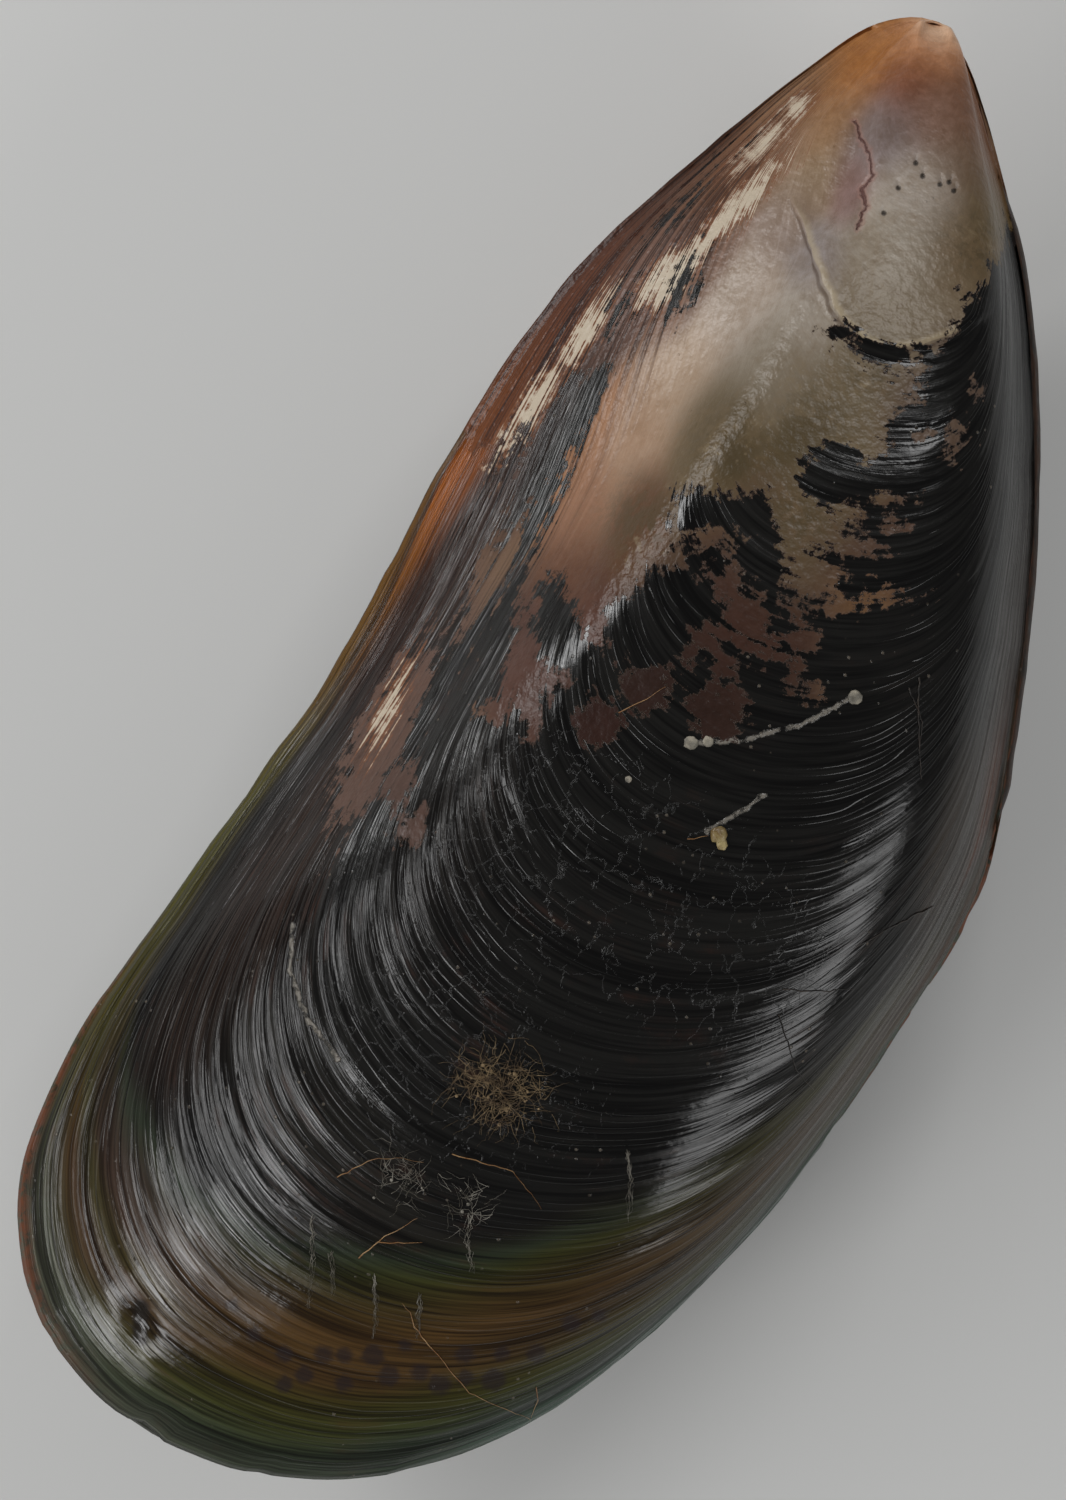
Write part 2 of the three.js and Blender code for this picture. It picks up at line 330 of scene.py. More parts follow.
PALE_STREAKS = [
    (26.9, -7.5, 2.4, 1.1, -8), (19.7, -5.6, 4.6, 0.8, -12), (33.2, -10.8, 3, 0.8, -4),
    (40.4, -11.5, 4, 0.8, -1), (10.8, -5.5, 1.2, 0.6, -20), (14.6, -6.4, 2.2, 0.6, -16),
    (23.7, -6.3, 2.6, 0.5, -8), (64.6, -9.3, 2.2, 0.5, 6)]
PEPPERED = [
    (38.6, 13.5, 6.5), (53, 6, 6), (46.4, 10, 5.5), (44, 5, 3.5), (31, 12.5, 4)]
STAINED = [
    (35.5, 3, 4.2), (31.5, 7.5, 4), (37.5, 9.5, 4), (43.5, 0, 3.6), (26, 9, 2.5), (13.5, 11, 3)]

# %% How deep a point lies in the worn patches
FIELD_PER_MM = 1 / 6
WALL_TOP, WALL_SLOPE = 8.5, 0.95


def worn_field(x, y, z, seed):
    """0.5 on the edge of the worn patches, more inside. On the hinge wall the edge slopes back."""
    down_wall = np.clip(WALL_TOP - z, 0, None) * between(y, 3.0, 7.0)
    x = x + WALL_SLOPE * down_wall + 2.0 * wavering(z * 0.8 + x * 0.3, seed) * between(down_wall, 0, 2.5)
    islands = np.full_like(x, -9.0)
    for middle_x, middle_y, reach in PEPPERED:
        near = between(reach - np.hypot(x - middle_x, y - middle_y), 0, 0.6 * reach)
        islands = np.maximum(islands, -0.55 - 4 * (1 - near))
    for oval in WORN_ISLANDS:
        islands = np.maximum(islands, depth_in_oval(x, y, oval))
    depth = np.maximum(depth_inside(x, y, WORN_OUTLINE), islands - 0.6 * down_wall)
    for oval in SKIN_LEFT_ON:
        depth = np.minimum(depth, -depth_in_oval(x, y, oval))
    return np.clip(0.5 + depth * FIELD_PER_MM, 0, 1)


# %% [markdown]
# ## Colours of the bare shell and of the skin
# Under the skin the shell is pale, with soft zones of violet, olive, tan and brown. The skin is
# nearly black, and only towards the margins is it thin enough to show amber, olive and teal. Soft
# spots of colour give the broad zones, and bands read off the age of the shell give the stripes
# along the rear margin. All fine pattern comes later, from noise along the growth.

# %% Zones of colour: x, y, reach along, reach across, angle, linear colour
GROUND = [
    (0.3, 0.6, 1.5, 1.6, 0, (0.98, 0.76, 0.55)), (1.6, 0.2, 2.6, 2.6, 0, (0.74, 0.36, 0.18)),
    (2.5, -3, 2.5, 2.5, 0, (0.44, 0.19, 0.055)), (5.8, -2.6, 3.4, 1.8, -15, (0.5, 0.19, 0.035)),
    (5.6, 0.6, 2.4, 1.8, 0, (0.24, 0.08, 0.035)), (10.5, -2.6, 3, 1.5, -10, (0.36, 0.2, 0.09)),
    (9.8, 1, 2.6, 2.4, 0, (0.25, 0.2, 0.195)), (7, 4, 2.2, 2.2, 0, (0.3, 0.17, 0.12)),
    (8.5, 7.5, 2.6, 2.4, 60, (0.21, 0.13, 0.08)), (4.8, 6.4, 3, 1.5, 55, (0.24, 0.1, 0.045)),
    (6, 8.2, 3.2, 1.4, 50, (0.2, 0.09, 0.04)), (11, 11, 3.5, 2, 40, (0.17, 0.12, 0.05)),
    (12.5, 5.5, 2.8, 2.4, 0, (0.5, 0.44, 0.38)), (17, 6, 3, 3, 0, (0.42, 0.37, 0.3)),
    (15.5, 10, 3, 2.2, 40, (0.22, 0.155, 0.085)), (21.3, 8.7, 3, 3.6, 20, (0.27, 0.22, 0.15)),
    (14.6, 0.9, 2.2, 1.2, 20, (0.27, 0.16, 0.145)), (15.5, -1.8, 2.8, 1.4, 0, (0.37, 0.27, 0.17)),
    (20.5, 1, 2.2, 1.6, 30, (0.33, 0.29, 0.28)), (19, -2, 3, 1.3, 0, (0.4, 0.32, 0.28)),
    (24.5, 2.8, 2.4, 1.6, 30, (0.42, 0.37, 0.31)), (25.5, -2, 4, 2, 0, (0.54, 0.46, 0.39)),
    (28.5, 2.5, 3.2, 2.6, 0, (0.31, 0.27, 0.21)), (34.5, 1.5, 3.6, 2.4, 0, (0.165, 0.12, 0.06)),
    (36.3, 3.4, 1.2, 0.9, 0, (0.065, 0.048, 0.02)), (33.1, 6.6, 1.6, 1.2, 0, (0.085, 0.062, 0.026)),
    (29.5, 7.5, 3.5, 3, 0, (0.2, 0.155, 0.092)), (37, 10.5, 4, 2.5, 0, (0.2, 0.15, 0.08)),
    (33, -3, 4, 1.6, 0, (0.54, 0.41, 0.3)), (38.5, -3.6, 4, 1.6, 5, (0.5, 0.33, 0.22)),
    (40.5, -6.6, 3.6, 1.2, 5, (0.4, 0.2, 0.1)), (44.5, -4.2, 3.4, 1.3, 15, (0.38, 0.2, 0.12)),
    (43.5, -0.8, 3.2, 1.3, 20, (0.13, 0.056, 0.018)), (49, -2.4, 3, 1.5, 20, (0.12, 0.046, 0.02)),
    (52.5, 0.2, 3, 1.5, 20, (0.11, 0.042, 0.024)), (57, -1.5, 3.5, 1.8, 20, (0.1, 0.044, 0.03)),
    (38, 13.5, 5, 3, 90, (0.1, 0.055, 0.037)), (40, 16.5, 2, 1.5, 90, (0.2, 0.11, 0.05)),
    (46, 10, 4, 3, 0, (0.06, 0.026, 0.017)), (53.5, 8.5, 5, 5, 0, (0.03, 0.013, 0.009)),
    (57.6, 4.4, 2.4, 2.4, 0, (0.036, 0.013, 0.009)), (66.5, -8.8, 7, 2, 6, (0.13, 0.072, 0.052)),
    (70.5, -4.5, 2.5, 2.5, 0, (0.1, 0.056, 0.043)), (10, -5.5, 4, 1.5, -20, (0.33, 0.18, 0.09)),
    (17, -7.4, 5, 1.6, -15, (0.2, 0.085, 0.035)), (16.5, -4.6, 4.5, 0.8, -12, (0.38, 0.26, 0.18)),
    (25.5, -5.2, 4, 1, -6, (0.24, 0.13, 0.085)), (28, -9, 6, 1.4, -8, (0.2, 0.11, 0.08)),
    (20, -10.5, 7, 1, -14, (0.1, 0.038, 0.018)), (33, -12.4, 7, 0.9, -4, (0.13, 0.036, 0.01)),
    (40, -13.8, 5, 1, -2, (0.2, 0.055, 0.008)), (38, -9.5, 6, 1.4, 0, (0.07, 0.032, 0.02)),
    (26, -12.6, 7, 0.9, -8, (0.13, 0.034, 0.01)), (24.5, 14.5, 4, 3, 0, (0.13, 0.085, 0.058))]
SKIN = [
    (22, -12, 5, 1, -10, (0.1, 0.022, 0.005)), (34, -13.7, 6.5, 1.5, -4, (0.17, 0.04, 0.004)),
    (46.5, -14.1, 9, 1.4, -2, (0.24, 0.06, 0.002)), (57, -14.3, 6.5, 1.1, 0, (0.13, 0.05, 0.004)),
    (42, -10.8, 6, 1.2, 0, (0.02, 0.007, 0.004)), (52, -10.5, 6, 1.4, 3, (0.022, 0.008, 0.004)),
    (60, -11.5, 5, 1, 3, (0.026, 0.009, 0.005)), (76, -10, 8, 1.6, 0, (0.018, 0.009, 0.006)),
    (86, -10, 7, 2, 0, (0.018, 0.01, 0.007)), (66, -2.5, 8, 2.5, 10, (0.009, 0.0075, 0.0065)),
    (40.7, 30.2, 9, 1.2, 26, (0.016, 0.009, 0.005)), (47, 33, 5, 1, 22, (0.1, 0.028, 0.009)),
    (52.5, 34.6, 4, 0.8, 10, (0.11, 0.03, 0.009)), (53, 32, 6, 1.2, 14, (0.02, 0.012, 0.006)),
    # The near-black zone at 112.8, -2.4 is painted shade in the pit at the rear.
    (112.8, -2.4, 1.3, 0.6, 35, (0.01, 0.009, 0.008)), (95, 3, 14, 3, 60, (0.01, 0.009, 0.0075))]
SKIN_BLACK = (0.0055, 0.0052, 0.0048)
GROUND_BROWN = (0.2, 0.12, 0.07)
GROUND_DEPTH = 0.72  # the colours are darkened by this much, for the light of the scene
BAND_DEPTH = 0.42


# %% Mix the zones
def zone_colours(x, y, zones, base, base_pull):
    """Soft mixture of the zone colours at each point, over a base colour where none is near."""
    total = np.full(x.shape, base_pull)
    mixture = total[..., None] * np.array(base)
    for zone_x, zone_y, reach_along, reach_across, angle, shade in zones:
        dx, dy = turned(x - zone_x, y - zone_y, -math.radians(angle))
        pull = np.exp(-(dx / reach_along) ** 2 - (dy / reach_across) ** 2)
        total = total + pull
        mixture = mixture + pull[..., None] * np.array(shade)
    return mixture / total[..., None]


# %% [markdown]
# The bands at the rear follow the age of the shell. Black skin ends at an age that differs round
# the margin. From there to the lip each sector of the margin has its own run of colours.

# %% Colour bands between the black skin and the lip
BLACK_ENDS = [
    (0, 1), (0.16, 0.975), (0.2, 0.93), (0.25, 0.88), (0.3, 0.8), (0.36, 0.74), (0.41, 0.735),
    (0.47, 0.776), (0.535, 0.838), (0.58, 0.88), (0.62, 0.925), (0.66, 0.948), (0.72, 0.955),
    (0.78, 0.968), (0.83, 0.985), (0.9, 1), (1, 1)]
BANDS = [  # middle and half width of the sector, then share of the band and its linear colour
    (0.24, 0.075, [(0, (0.03, 0.016, 0.01)), (0.3, (0.048, 0.036, 0.012)),
        (0.55, (0.095, 0.045, 0.018)), (0.75, (0.062, 0.05, 0.02)), (0.88, (0.062, 0.095, 0.066)),
        (1, (0.11, 0.15, 0.115))]),
    (0.39, 0.075, [(0, (0.022, 0.016, 0.01)), (0.2, (0.05, 0.044, 0.01)), (0.4, (0.095, 0.055, 0.018)),
        (0.55, (0.065, 0.045, 0.018)), (0.7, (0.062, 0.058, 0.014)), (0.86, (0.052, 0.078, 0.052)),
        (1, (0.1, 0.16, 0.13))]),
    (0.5, 0.055, [(0, (0.025, 0.02, 0.01)), (0.1, (0.042, 0.06, 0.034)), (0.18, (0.056, 0.06, 0.014)),
        (0.3, (0.09, 0.058, 0.016)), (0.42, (0.135, 0.07, 0.02)), (0.58, (0.115, 0.06, 0.018)),
        (0.68, (0.085, 0.074, 0.014)), (0.8, (0.07, 0.078, 0.018)), (0.88, (0.055, 0.072, 0.04)),
        (0.95, (0.095, 0.11, 0.075)), (1, (0.15, 0.17, 0.12))]),
    (0.585, 0.04, [(0, (0.03, 0.025, 0.02)), (0.12, (0.045, 0.06, 0.04)), (0.25, (0.06, 0.042, 0.034)),
        (0.4, (0.085, 0.052, 0.042)), (0.52, (0.1, 0.09, 0.03)), (0.62, (0.105, 0.05, 0.024)),
        (0.76, (0.07, 0.058, 0.03)), (0.86, (0.13, 0.145, 0.1)), (1, (0.18, 0.18, 0.135))]),
    (0.69, 0.055, [(0, (0.022, 0.013, 0.008)), (0.3, (0.075, 0.062, 0.011)), (0.6, (0.11, 0.1, 0.012)),
        (1, (0.095, 0.085, 0.011))]),
    (0.79, 0.04, [(0, (0.05, 0.02, 0.006)), (0.5, (0.22, 0.09, 0.008)), (1, (0.25, 0.11, 0.009))])]


# %% Colours of the skin
def skin_colours(x, y, turn, stage, seed):
    skin = zone_colours(x, y, SKIN, SKIN_BLACK, 0.12)
    age = stage + 0.005 * wavering(turn * 23, seed) + 0.003 * wavering(turn * 70, seed + 1)
    ends = np.interp(turn + 0.004 * wavering(stage * 50, seed + 2), *zip(*BLACK_ENDS))
    share = (age - ends) / np.maximum(1 - ends, 0.012)
    total = np.full(x.shape, 1e-6)
    mixture = np.zeros(x.shape + (3,))
    for middle, half_width, run in BANDS:
        weight = np.exp(-((turn - middle) / half_width) ** 2)
        places, shades = zip(*run)
        band = np.stack([np.interp(share, places, channel) for channel in zip(*shades)], -1)
        mixture += weight[..., None] * band
        total += weight
    mixture *= BAND_DEPTH / total[..., None]
    amount = between(share, -0.06, 0.14) * between(turn, 0.16, 0.20) * (1 - between(turn, 0.84, 0.90))
    return skin * (1 - amount[..., None]) + mixture * amount[..., None]


# %% [markdown]
# ## Making a valve
# A flat grid is the easiest thing to bend: its rows become stages of growth and its columns go
# round the margin. The first rows run up the outside from the beak, a few go round the lip, and
# the rest go back over the inside, so the valve is one closed wall. The grid's own UV map is kept,
# and its second direction is rewritten as the age of the shell, so that patterns follow growth.

# %% Sizes of the grid and of the lip
LIP_ROWS = 5
INNER_ROWS = 9
ROW_PACKING = 1.2  # rows crowd together towards the beak
BEAK_CROWDING = 0.12  # and so do the columns
LIP_ROUNDING = 0.3
LIP_SINK = 0.08
BEAK_SMOOTHING = 0.075  # share of the way round that the youngest rows are smoothed over
BEAK_FILLING = 0.7  # height that makes good what smoothing took off
TIP_ROWS = 6  # the rows too small to see, which close up in one point
WELD = 1e-8
LIGAMENT_FROM, LIGAMENT_TO = 8.0, 49.0
SLOT_HALF = 1.2
SLOT_RAMP = 4.0


# %% The slot for the ligament, and the wander of the lip
def slot_lift(margin):
    """How far the lip is lifted off the seam, to leave room for the ligament."""
    rising = between(margin[..., 0], LIGAMENT_FROM - SLOT_RAMP, LIGAMENT_FROM)
    falling = between(margin[..., 0], LIGAMENT_TO, LIGAMENT_TO + SLOT_RAMP)
    return np.where(margin[..., 1] > 0, SLOT_HALF * (rising - falling), 0.0)


def lip_waver(turn, stage, margin, seed):
    """Small in-and-out wander of the lip, with a few flaked places, in the plane of the seam."""
    along = np.gradient(margin, axis=1)
    out = np.stack([-along[..., 1], along[..., 0]], -1)
    out /= np.maximum(np.linalg.norm(out, axis=-1, keepdims=True), 1e-9)
    wander = 0.10 * wavering(turn * 60, seed + 20) + 0.05 * wavering(turn * 170, seed + 21)
    flaked = 0.40 * between(wavering(turn * 120, seed + 22), 0.55, 0.95) * window(turn, 0.2, 0.64, 0.03)
    amount = (wander - flaked) * between(stage, 0.965, 1.0) * between(margin[..., 0], 3, 25)
    return out * amount[..., None]


# %% Bend the grid: millimetre positions for every row and column
def outward_normals(shape):
    by_column = np.gradient(shape, axis=1)
    by_row = np.gradient(shape, axis=0)
    outward = np.cross(by_row, by_column)
    size = np.linalg.norm(outward, axis=-1, keepdims=True)
    outward = np.where(size > 1e-9, outward / np.maximum(size, 1e-9), 0)
    return outward * np.sign(outward[shape.shape[0] // 3, shape.shape[1] // 2, 2])


def rounded_beak(shape, stage):
    """Smooths the youngest rows along their length, so that no crease runs into the beak."""
    ring = shape[:, :-1]
    waves = np.fft.rfftfreq(ring.shape[1])[None, :, None]
    reach = BEAK_SMOOTHING * ring.shape[1] * (1 - between(stage[:, :1, None], 0.02, 0.34))
    ring = np.fft.irfft(np.fft.rfft(ring, axis=1) * np.exp(-2 * (np.pi * waves * reach) ** 2),
                        n=ring.shape[1], axis=1)
    return np.concatenate([ring, ring[:, :1]], 1)


def valve_points(turn, row, outer_rows, seed):
    lip_end = outer_rows + LIP_ROWS
    inner_share = np.clip((lip_end + INNER_ROWS - row) / INNER_ROWS, 0, 1)
    stage = np.where(row <= outer_rows, np.clip(row / outer_rows, 0, 1) ** ROW_PACKING,
                     np.where(row < lip_end, 1.0, inner_share ** ROW_PACKING))
    margin = margin_at(turn)
    shape = rounded_beak(stage_points(turn, stage), stage)
    lift = slot_lift(margin) * stage
    inside = shape - (shape - WALL_CENTRE) * (1 - WALL_SHRINK)
    height = relief(turn, stage, shape[..., 0], shape[..., 1], seed)
    height += BEAK_FILLING * between(stage, 0.0, 0.05) * (1 - between(stage, 0.10, 0.34))
    outside = shape + outward_normals(shape) * height[..., None]
    outside[..., :2] += lip_waver(turn, stage, margin, seed)
    side = np.clip((row - outer_rows) / LIP_ROWS, 0, 1)
    points = outside * (1 - side[..., None]) + inside * side[..., None]
    rounding = LIP_ROUNDING * np.abs(2 * side - 1) ** 3 * between(stage, 0.96, 1)
    points[..., 2] = np.hypot(points[..., 2] + rounding, lift) + SEAM / 2 - LIP_SINK
    return points, stage, side, shape


# %% [markdown]
# The colours and fields are stored on the vertices as named attributes, which a material can read.
# The right valve is the left one mirrored, with its own random seed, so the two match as the halves
# of one shell do but no mark is repeated.

# %% Store the fields on the mesh
def add_attribute(mesh, name, kind, field, values):
    layer = mesh.attributes.new(name, kind, "POINT")
    layer.data.foreach_set(field, np.ascontiguousarray(values, dtype=np.float32).ravel())


def paint_fields(mesh, x, y, z, turn, stage, side, seed, mirrored):
    if mirrored:
        x, y = 1.12 * x + 2.4 * np.sin(y * 0.42 + 1) - 2, 0.9 * y + 2.0 * np.sin(x * 0.16 + 2) + 1.5
    pale = np.full(x.shape, -9.0)
    for oval in PALE_STREAKS[::3] if mirrored else PALE_STREAKS:
        pale = np.maximum(pale, depth_in_oval(x, y, oval))
    crazed = np.exp(-((x - 67) / 8) ** 2 - ((y - 12) / 13) ** 2)
    crazed = np.maximum(crazed, 0.6 * np.exp(-((x - 84) / 8) ** 2 - ((y - 9) / 12) ** 2))
    stained = np.zeros(x.shape)
    for middle_x, middle_y, reach in STAINED:
        stained = np.maximum(stained, np.exp(-((x - middle_x) ** 2 + (y - middle_y) ** 2) / reach ** 2))
    fields = {
        "worn": worn_field(x, y, z, seed),
        "stained": stained,
        "pale": np.clip(0.5 + pale * FIELD_PER_MM * 2, 0, 1),
        "flank": between(-y, 3.6, 6.5) * (1 - between(x, 55, 75)),
        "crazed": crazed,
        "cap": np.clip(0.5 + 0.25 * cap_depth(x, y), 0, 1),
        "lipped": lip_window(x, y),
        "rim": (between(stage, 0.988, 0.998) * (side < 0.5)
                * (window(turn, 0.56, 0.66, 0.03) + window(turn, 0.14, 0.29, 0.03))),
        "ridged": ridge_strength(turn, stage),
        "inner_side": side}
    for name, values in fields.items():
        add_attribute(mesh, name, "FLOAT", "value", values)
    opaque = np.ones(x.shape + (1,))
    ground = zone_colours(x, y, GROUND, GROUND_BROWN, 0.01) * GROUND_DEPTH
    skin = skin_colours(x, y, turn, stage, seed + 60)
    for name, shades in (("ground", ground), ("skin", skin)):
        add_attribute(mesh, name, "FLOAT_COLOR", "color", np.concatenate([shades, opaque], -1))


def write_growth_map(mesh, share, stage, side):
    """Rewrites the grid's UV map: first the way round the margin, second the age of the shell."""
    layer = mesh.uv_layers["growth"].data
    uv = np.zeros(len(layer) * 2)
    layer.foreach_get("uv", uv)
    uv = uv.reshape(-1, 2)
    column = np.rint(uv[:, 0] * (stage.shape[1] - 1)).astype(int)
    row = np.rint(uv[:, 1] * (stage.shape[0] - 1)).astype(int)
    uv[:, 0] = share[column]
    uv[:, 1] = np.where(side[row, column] >= 1, 2 - stage[row, column], stage[row, column])
    layer.foreach_set("uv", uv.ravel())


# %% Make a valve from a grid
def grid_mesh(name, columns, rows):
    bm = bmesh.new()
    bm.loops.layers.uv.new("growth")
    bmesh.ops.create_grid(bm, x_segments=columns, y_segments=rows, size=0.5, calc_uvs=True)
    mesh = bpy.data.meshes.new(name)
    bm.to_mesh(mesh)
    bm.free()
    flat = np.zeros(len(mesh.vertices) * 3)
    mesh.vertices.foreach_get("co", flat)
    flat = flat.reshape(-1, 3) + 0.5
    return mesh, np.rint(flat[:, 0] * columns).astype(int), np.rint(flat[:, 1] * rows).astype(int)


def close_up(mesh):
    """Merges what meets, turns the faces out and reports open edges."""
    bm = bmesh.new()
    bm.from_mesh(mesh)
    bmesh.ops.remove_doubles(bm, verts=bm.verts, dist=WELD)
    bmesh.ops.dissolve_degenerate(bm, dist=1e-7, edges=bm.edges)
    bmesh.ops.recalc_face_normals(bm, faces=bm.faces)
    for face in bm.faces:
        face.smooth = True
    open_edges = sum(not edge.is_manifold for edge in bm.edges)
    triangles = sum(len(face.verts) - 2 for face in bm.faces)
    bm.to_mesh(mesh)
    bm.free()
    print(mesh.name, triangles, "triangles,", open_edges, "open edges")


def add_object(name, data):
    made = bpy.data.objects.new(name, data)
    bpy.context.scene.collection.objects.link(made)
    return made


def place_piece(mesh, *slots):
    piece = add_object(mesh.name, mesh)
    for material in slots:
        mesh.materials.append(material)
    return piece


# %% Bend a grid into a valve
def make_valve(name, columns, outer_rows, seed, mirrored):
    rows = outer_rows + LIP_ROWS + INNER_ROWS
    mesh, column, row = grid_mesh(name, columns, rows)
    share = np.arange(columns + 1) / columns
    share = share - BEAK_CROWDING * np.sin(2 * np.pi * share) / (2 * np.pi)
    turn, all_rows = np.meshgrid(share, np.arange(rows + 1.0))
    points, stage, side, plain = valve_points(turn, all_rows, outer_rows, seed)
    points[:TIP_ROWS] = points[0].mean(axis=0)
    points[:, -1] = points[:, 0]
    if mirrored:
        points[..., 2] *= -1
        away, across = turned(points[..., 0] - VALVE_LENGTH, points[..., 1], -MISMATCH)
        points[..., 0], points[..., 1] = away + VALVE_LENGTH, across
    points = (points + TO_FRAME) * MM
    points[..., 2] = np.maximum(points[..., 2], 0)
    mesh.vertices.foreach_set("co", points[row, column].ravel())
    here = (row, column)
    x, y, z = (plain[..., axis][here] for axis in range(3))
    paint_fields(mesh, x, y, z, turn[here], stage[here], side[here], seed, mirrored)
    write_growth_map(mesh, share, stage, side)
    close_up(mesh)
    return place_piece(mesh)


# %% Make both valves
plain_turn, plain_stage = np.meshgrid(np.linspace(0, 1, 241), np.linspace(0.01, 1, 200))
plain_valve = stage_points(plain_turn, plain_stage)
TO_FRAME = np.array([left_box[0].x / MM - plain_valve[..., 0].min(),
                     left_box[1].y / MM - plain_valve[..., 1].max(),
                     left_box[1].z / MM - plain_valve[..., 2].max() - SEAM / 2])
print("beak is at", TO_FRAME.round(3), "mm in the frame")
left_valve = make_valve("left_valve_shell", 300, 310, 11, False)
right_valve = make_valve("right_valve_shell", 200, 300, 47, True)

# %% [markdown]
# ## Helpers for materials
# A node tree is easier to read as nested words than as a picture of wires. These helpers add a
# node with its settings and inputs, do a sum, blend two colours, and stretch a pattern. The tree
# that is being built is kept in the name tree, so the helpers need not be told.

# %% Node helpers
def add_node(kind, inputs=None, **settings):
    made = tree.nodes.new(kind)
    for name, setting in settings.items():
        setattr(made, name, setting)
    for key, value in (inputs or {}).items():
        if isinstance(value, bpy.types.NodeSocket):
            tree.links.new(value, made.inputs[key])
        else:
            made.inputs[key].default_value = value
    return made


def sum_of(operation, first, second=0.0, third=0.0):
    made = add_node("ShaderNodeMath", {0: first, 1: second, 2: third}, operation=operation)
    return made.outputs[0]


def product(first, second, *more):
    made = sum_of("MULTIPLY", first, second)
    return product(made, *more) if more else made


def scaled(value, factor, added):
    return sum_of("MULTIPLY_ADD", value, factor, added)


def centred(value):
    return sum_of("SUBTRACT", value, 0.5)


def opposite(value):
    return sum_of("SUBTRACT", 1.0, value)


def blend(share, first, second, how="MIX"):
    made = add_node("ShaderNodeMix", {0: share, 6: first, 7: second}, data_type="RGBA", blend_type=how)
    return made.outputs[2]


def tinted(shade, red, green, blue):
    return blend(1.0, shade, colour(red, green, blue), "MULTIPLY")


def blend_numbers(share, first, second):
    return add_node("ShaderNodeMix", {0: share, 2: first, 3: second}, data_type="FLOAT").outputs[0]


def vector_math(operation, inputs, output=0):
    return add_node("ShaderNodeVectorMath", inputs, operation=operation).outputs[output]


def rise(value, low, high, start=0.0, end=1.0):
    made = add_node("ShaderNodeMapRange", {0: value, 1: low, 2: high, 3: start, 4: end},
                    interpolation_type="SMOOTHSTEP")
    return made.outputs[0]


# %% Helpers that read patterns and fields
def noise_value(where, scale, detail=2.0, rough=0.5, twist=0.0):
    made = add_node("ShaderNodeTexNoise", {"Vector": where, "Scale": scale, "Detail": detail,
                                           "Roughness": rough, "Distortion": twist})
    return made.outputs[0]


def field(name):
    return add_node("ShaderNodeAttribute", attribute_name=name).outputs["Fac"]


def colour(red, green, blue):
    return (red, green, blue, 1.0)


# %% Start and finish a material
def new_material(name):
    """A material with an empty node tree, which becomes the tree that the helpers add to."""
    global tree
    material = bpy.data.materials.new(name)
    material.use_nodes = True
    tree = material.node_tree
    tree.nodes.clear()
    return material


def finish_tree(**inputs):
    shader = add_node("ShaderNodeBsdfPrincipled", {k.replace("_", " "): v for k, v in inputs.items()})
    add_node("ShaderNodeOutputMaterial", {"Surface": shader.outputs[0]})


def millimetres(flat=False, shift=0.0):
    """Object coordinates in millimetres from the beak, with or without their height."""
    where = add_node("ShaderNodeTexCoord").outputs["Object"]
    made = add_node("ShaderNodeMapping", {
        "Vector": where, "Location": (shift - TO_FRAME[0], shift - TO_FRAME[1], 0.0),
        "Scale": (1000.0, 1000.0, 0.0 if flat else 1000.0)})
    return made.outputs[0]


def along_growth(round_scale, age_scale, shift=0.0):
    """Coordinates that run round the margin and along the age, stretched by the two scales."""
    growth = add_node("ShaderNodeUVMap", uv_map="growth")
    made = add_node("ShaderNodeMapping", {
        "Vector": growth.outputs[0], "Location": (shift, shift * 1.7, shift),
        "Scale": (round_scale, age_scale, 1.0)})
    return made.outputs[0]


# %% [markdown]
# ## The shell material
# Real shell is two layers: dark glossy skin over pale satin shell. The material mixes them by the
# worn field, frayed with noise, and lifts the skin a little at its torn edges. Growth lines are
# noise that is squeezed along the age and stretched round the margin.

# %% Round spots at listed places
REAR_SPOTS = [  # x, y, radius
    (109.5, 7.8, 0.45), (108, 10.3, 0.5), (110.1, 9.8, 0.5), (109.2, 12.7, 0.45), (106.2, 13.5, 0.6),
    (105.7, 18.8, 0.6), (102.8, 19.3, 0.5), (103.5, 22.1, 0.65), (100.2, 23.8, 0.5), (107, 15.2, 0.6),
    (104.4, 15.1, 0.35), (105.6, 17.1, 0.5), (111.5, 8.9, 0.45), (107.3, 11.6, 0.45),
    (96.9, 24.9, 0.5), (95.4, 26.4, 0.4), (101.4, 21.6, 0.4), (109.3, 5.1, 0.4), (108.2, 2.7, 0.35),
    (104.3, 20.2, 0.45)]
FAR = 9.0


def spots(flat_place, places, softness):
    """1 inside any of the round spots, 0 outside."""
    nearest = FAR
    for x, y, radius in places:
        away = vector_math("DISTANCE", {0: flat_place, 1: (x, y, 0.0)}, "Value")
        away = sum_of("SUBTRACT", away, radius)
        nearest = sum_of("MINIMUM", away, nearest)
    return rise(nearest, softness, -softness)


def line_distance(flat_place, corners):
    """Millimetres from a drawn line."""
    nearest = FAR
    for (ax, ay), (bx, by) in zip(corners[:-1], corners[1:]):
        run = Vector((bx - ax, by - ay, 0))
        from_start = vector_math("SUBTRACT", {0: flat_place, 1: (ax, ay, 0)})
        share = vector_math("DOT_PRODUCT", {0: from_start, 1: run / run.length_squared}, "Value")
        share = add_node("ShaderNodeClamp", {0: share}).outputs[0]
        foot = vector_math("SCALE", {0: run, "Scale": share})
        away = vector_math("DISTANCE", {0: from_start, 1: foot}, "Value")
        nearest = sum_of("MINIMUM", away, nearest)
    return nearest


# %% Frayed edge between skin and bare shell
# How far each pattern pushes the torn edge.
FRAY = SimpleNamespace(cloud=0.34, crumbs=0.72, stripes=0.9, lines=0.42)


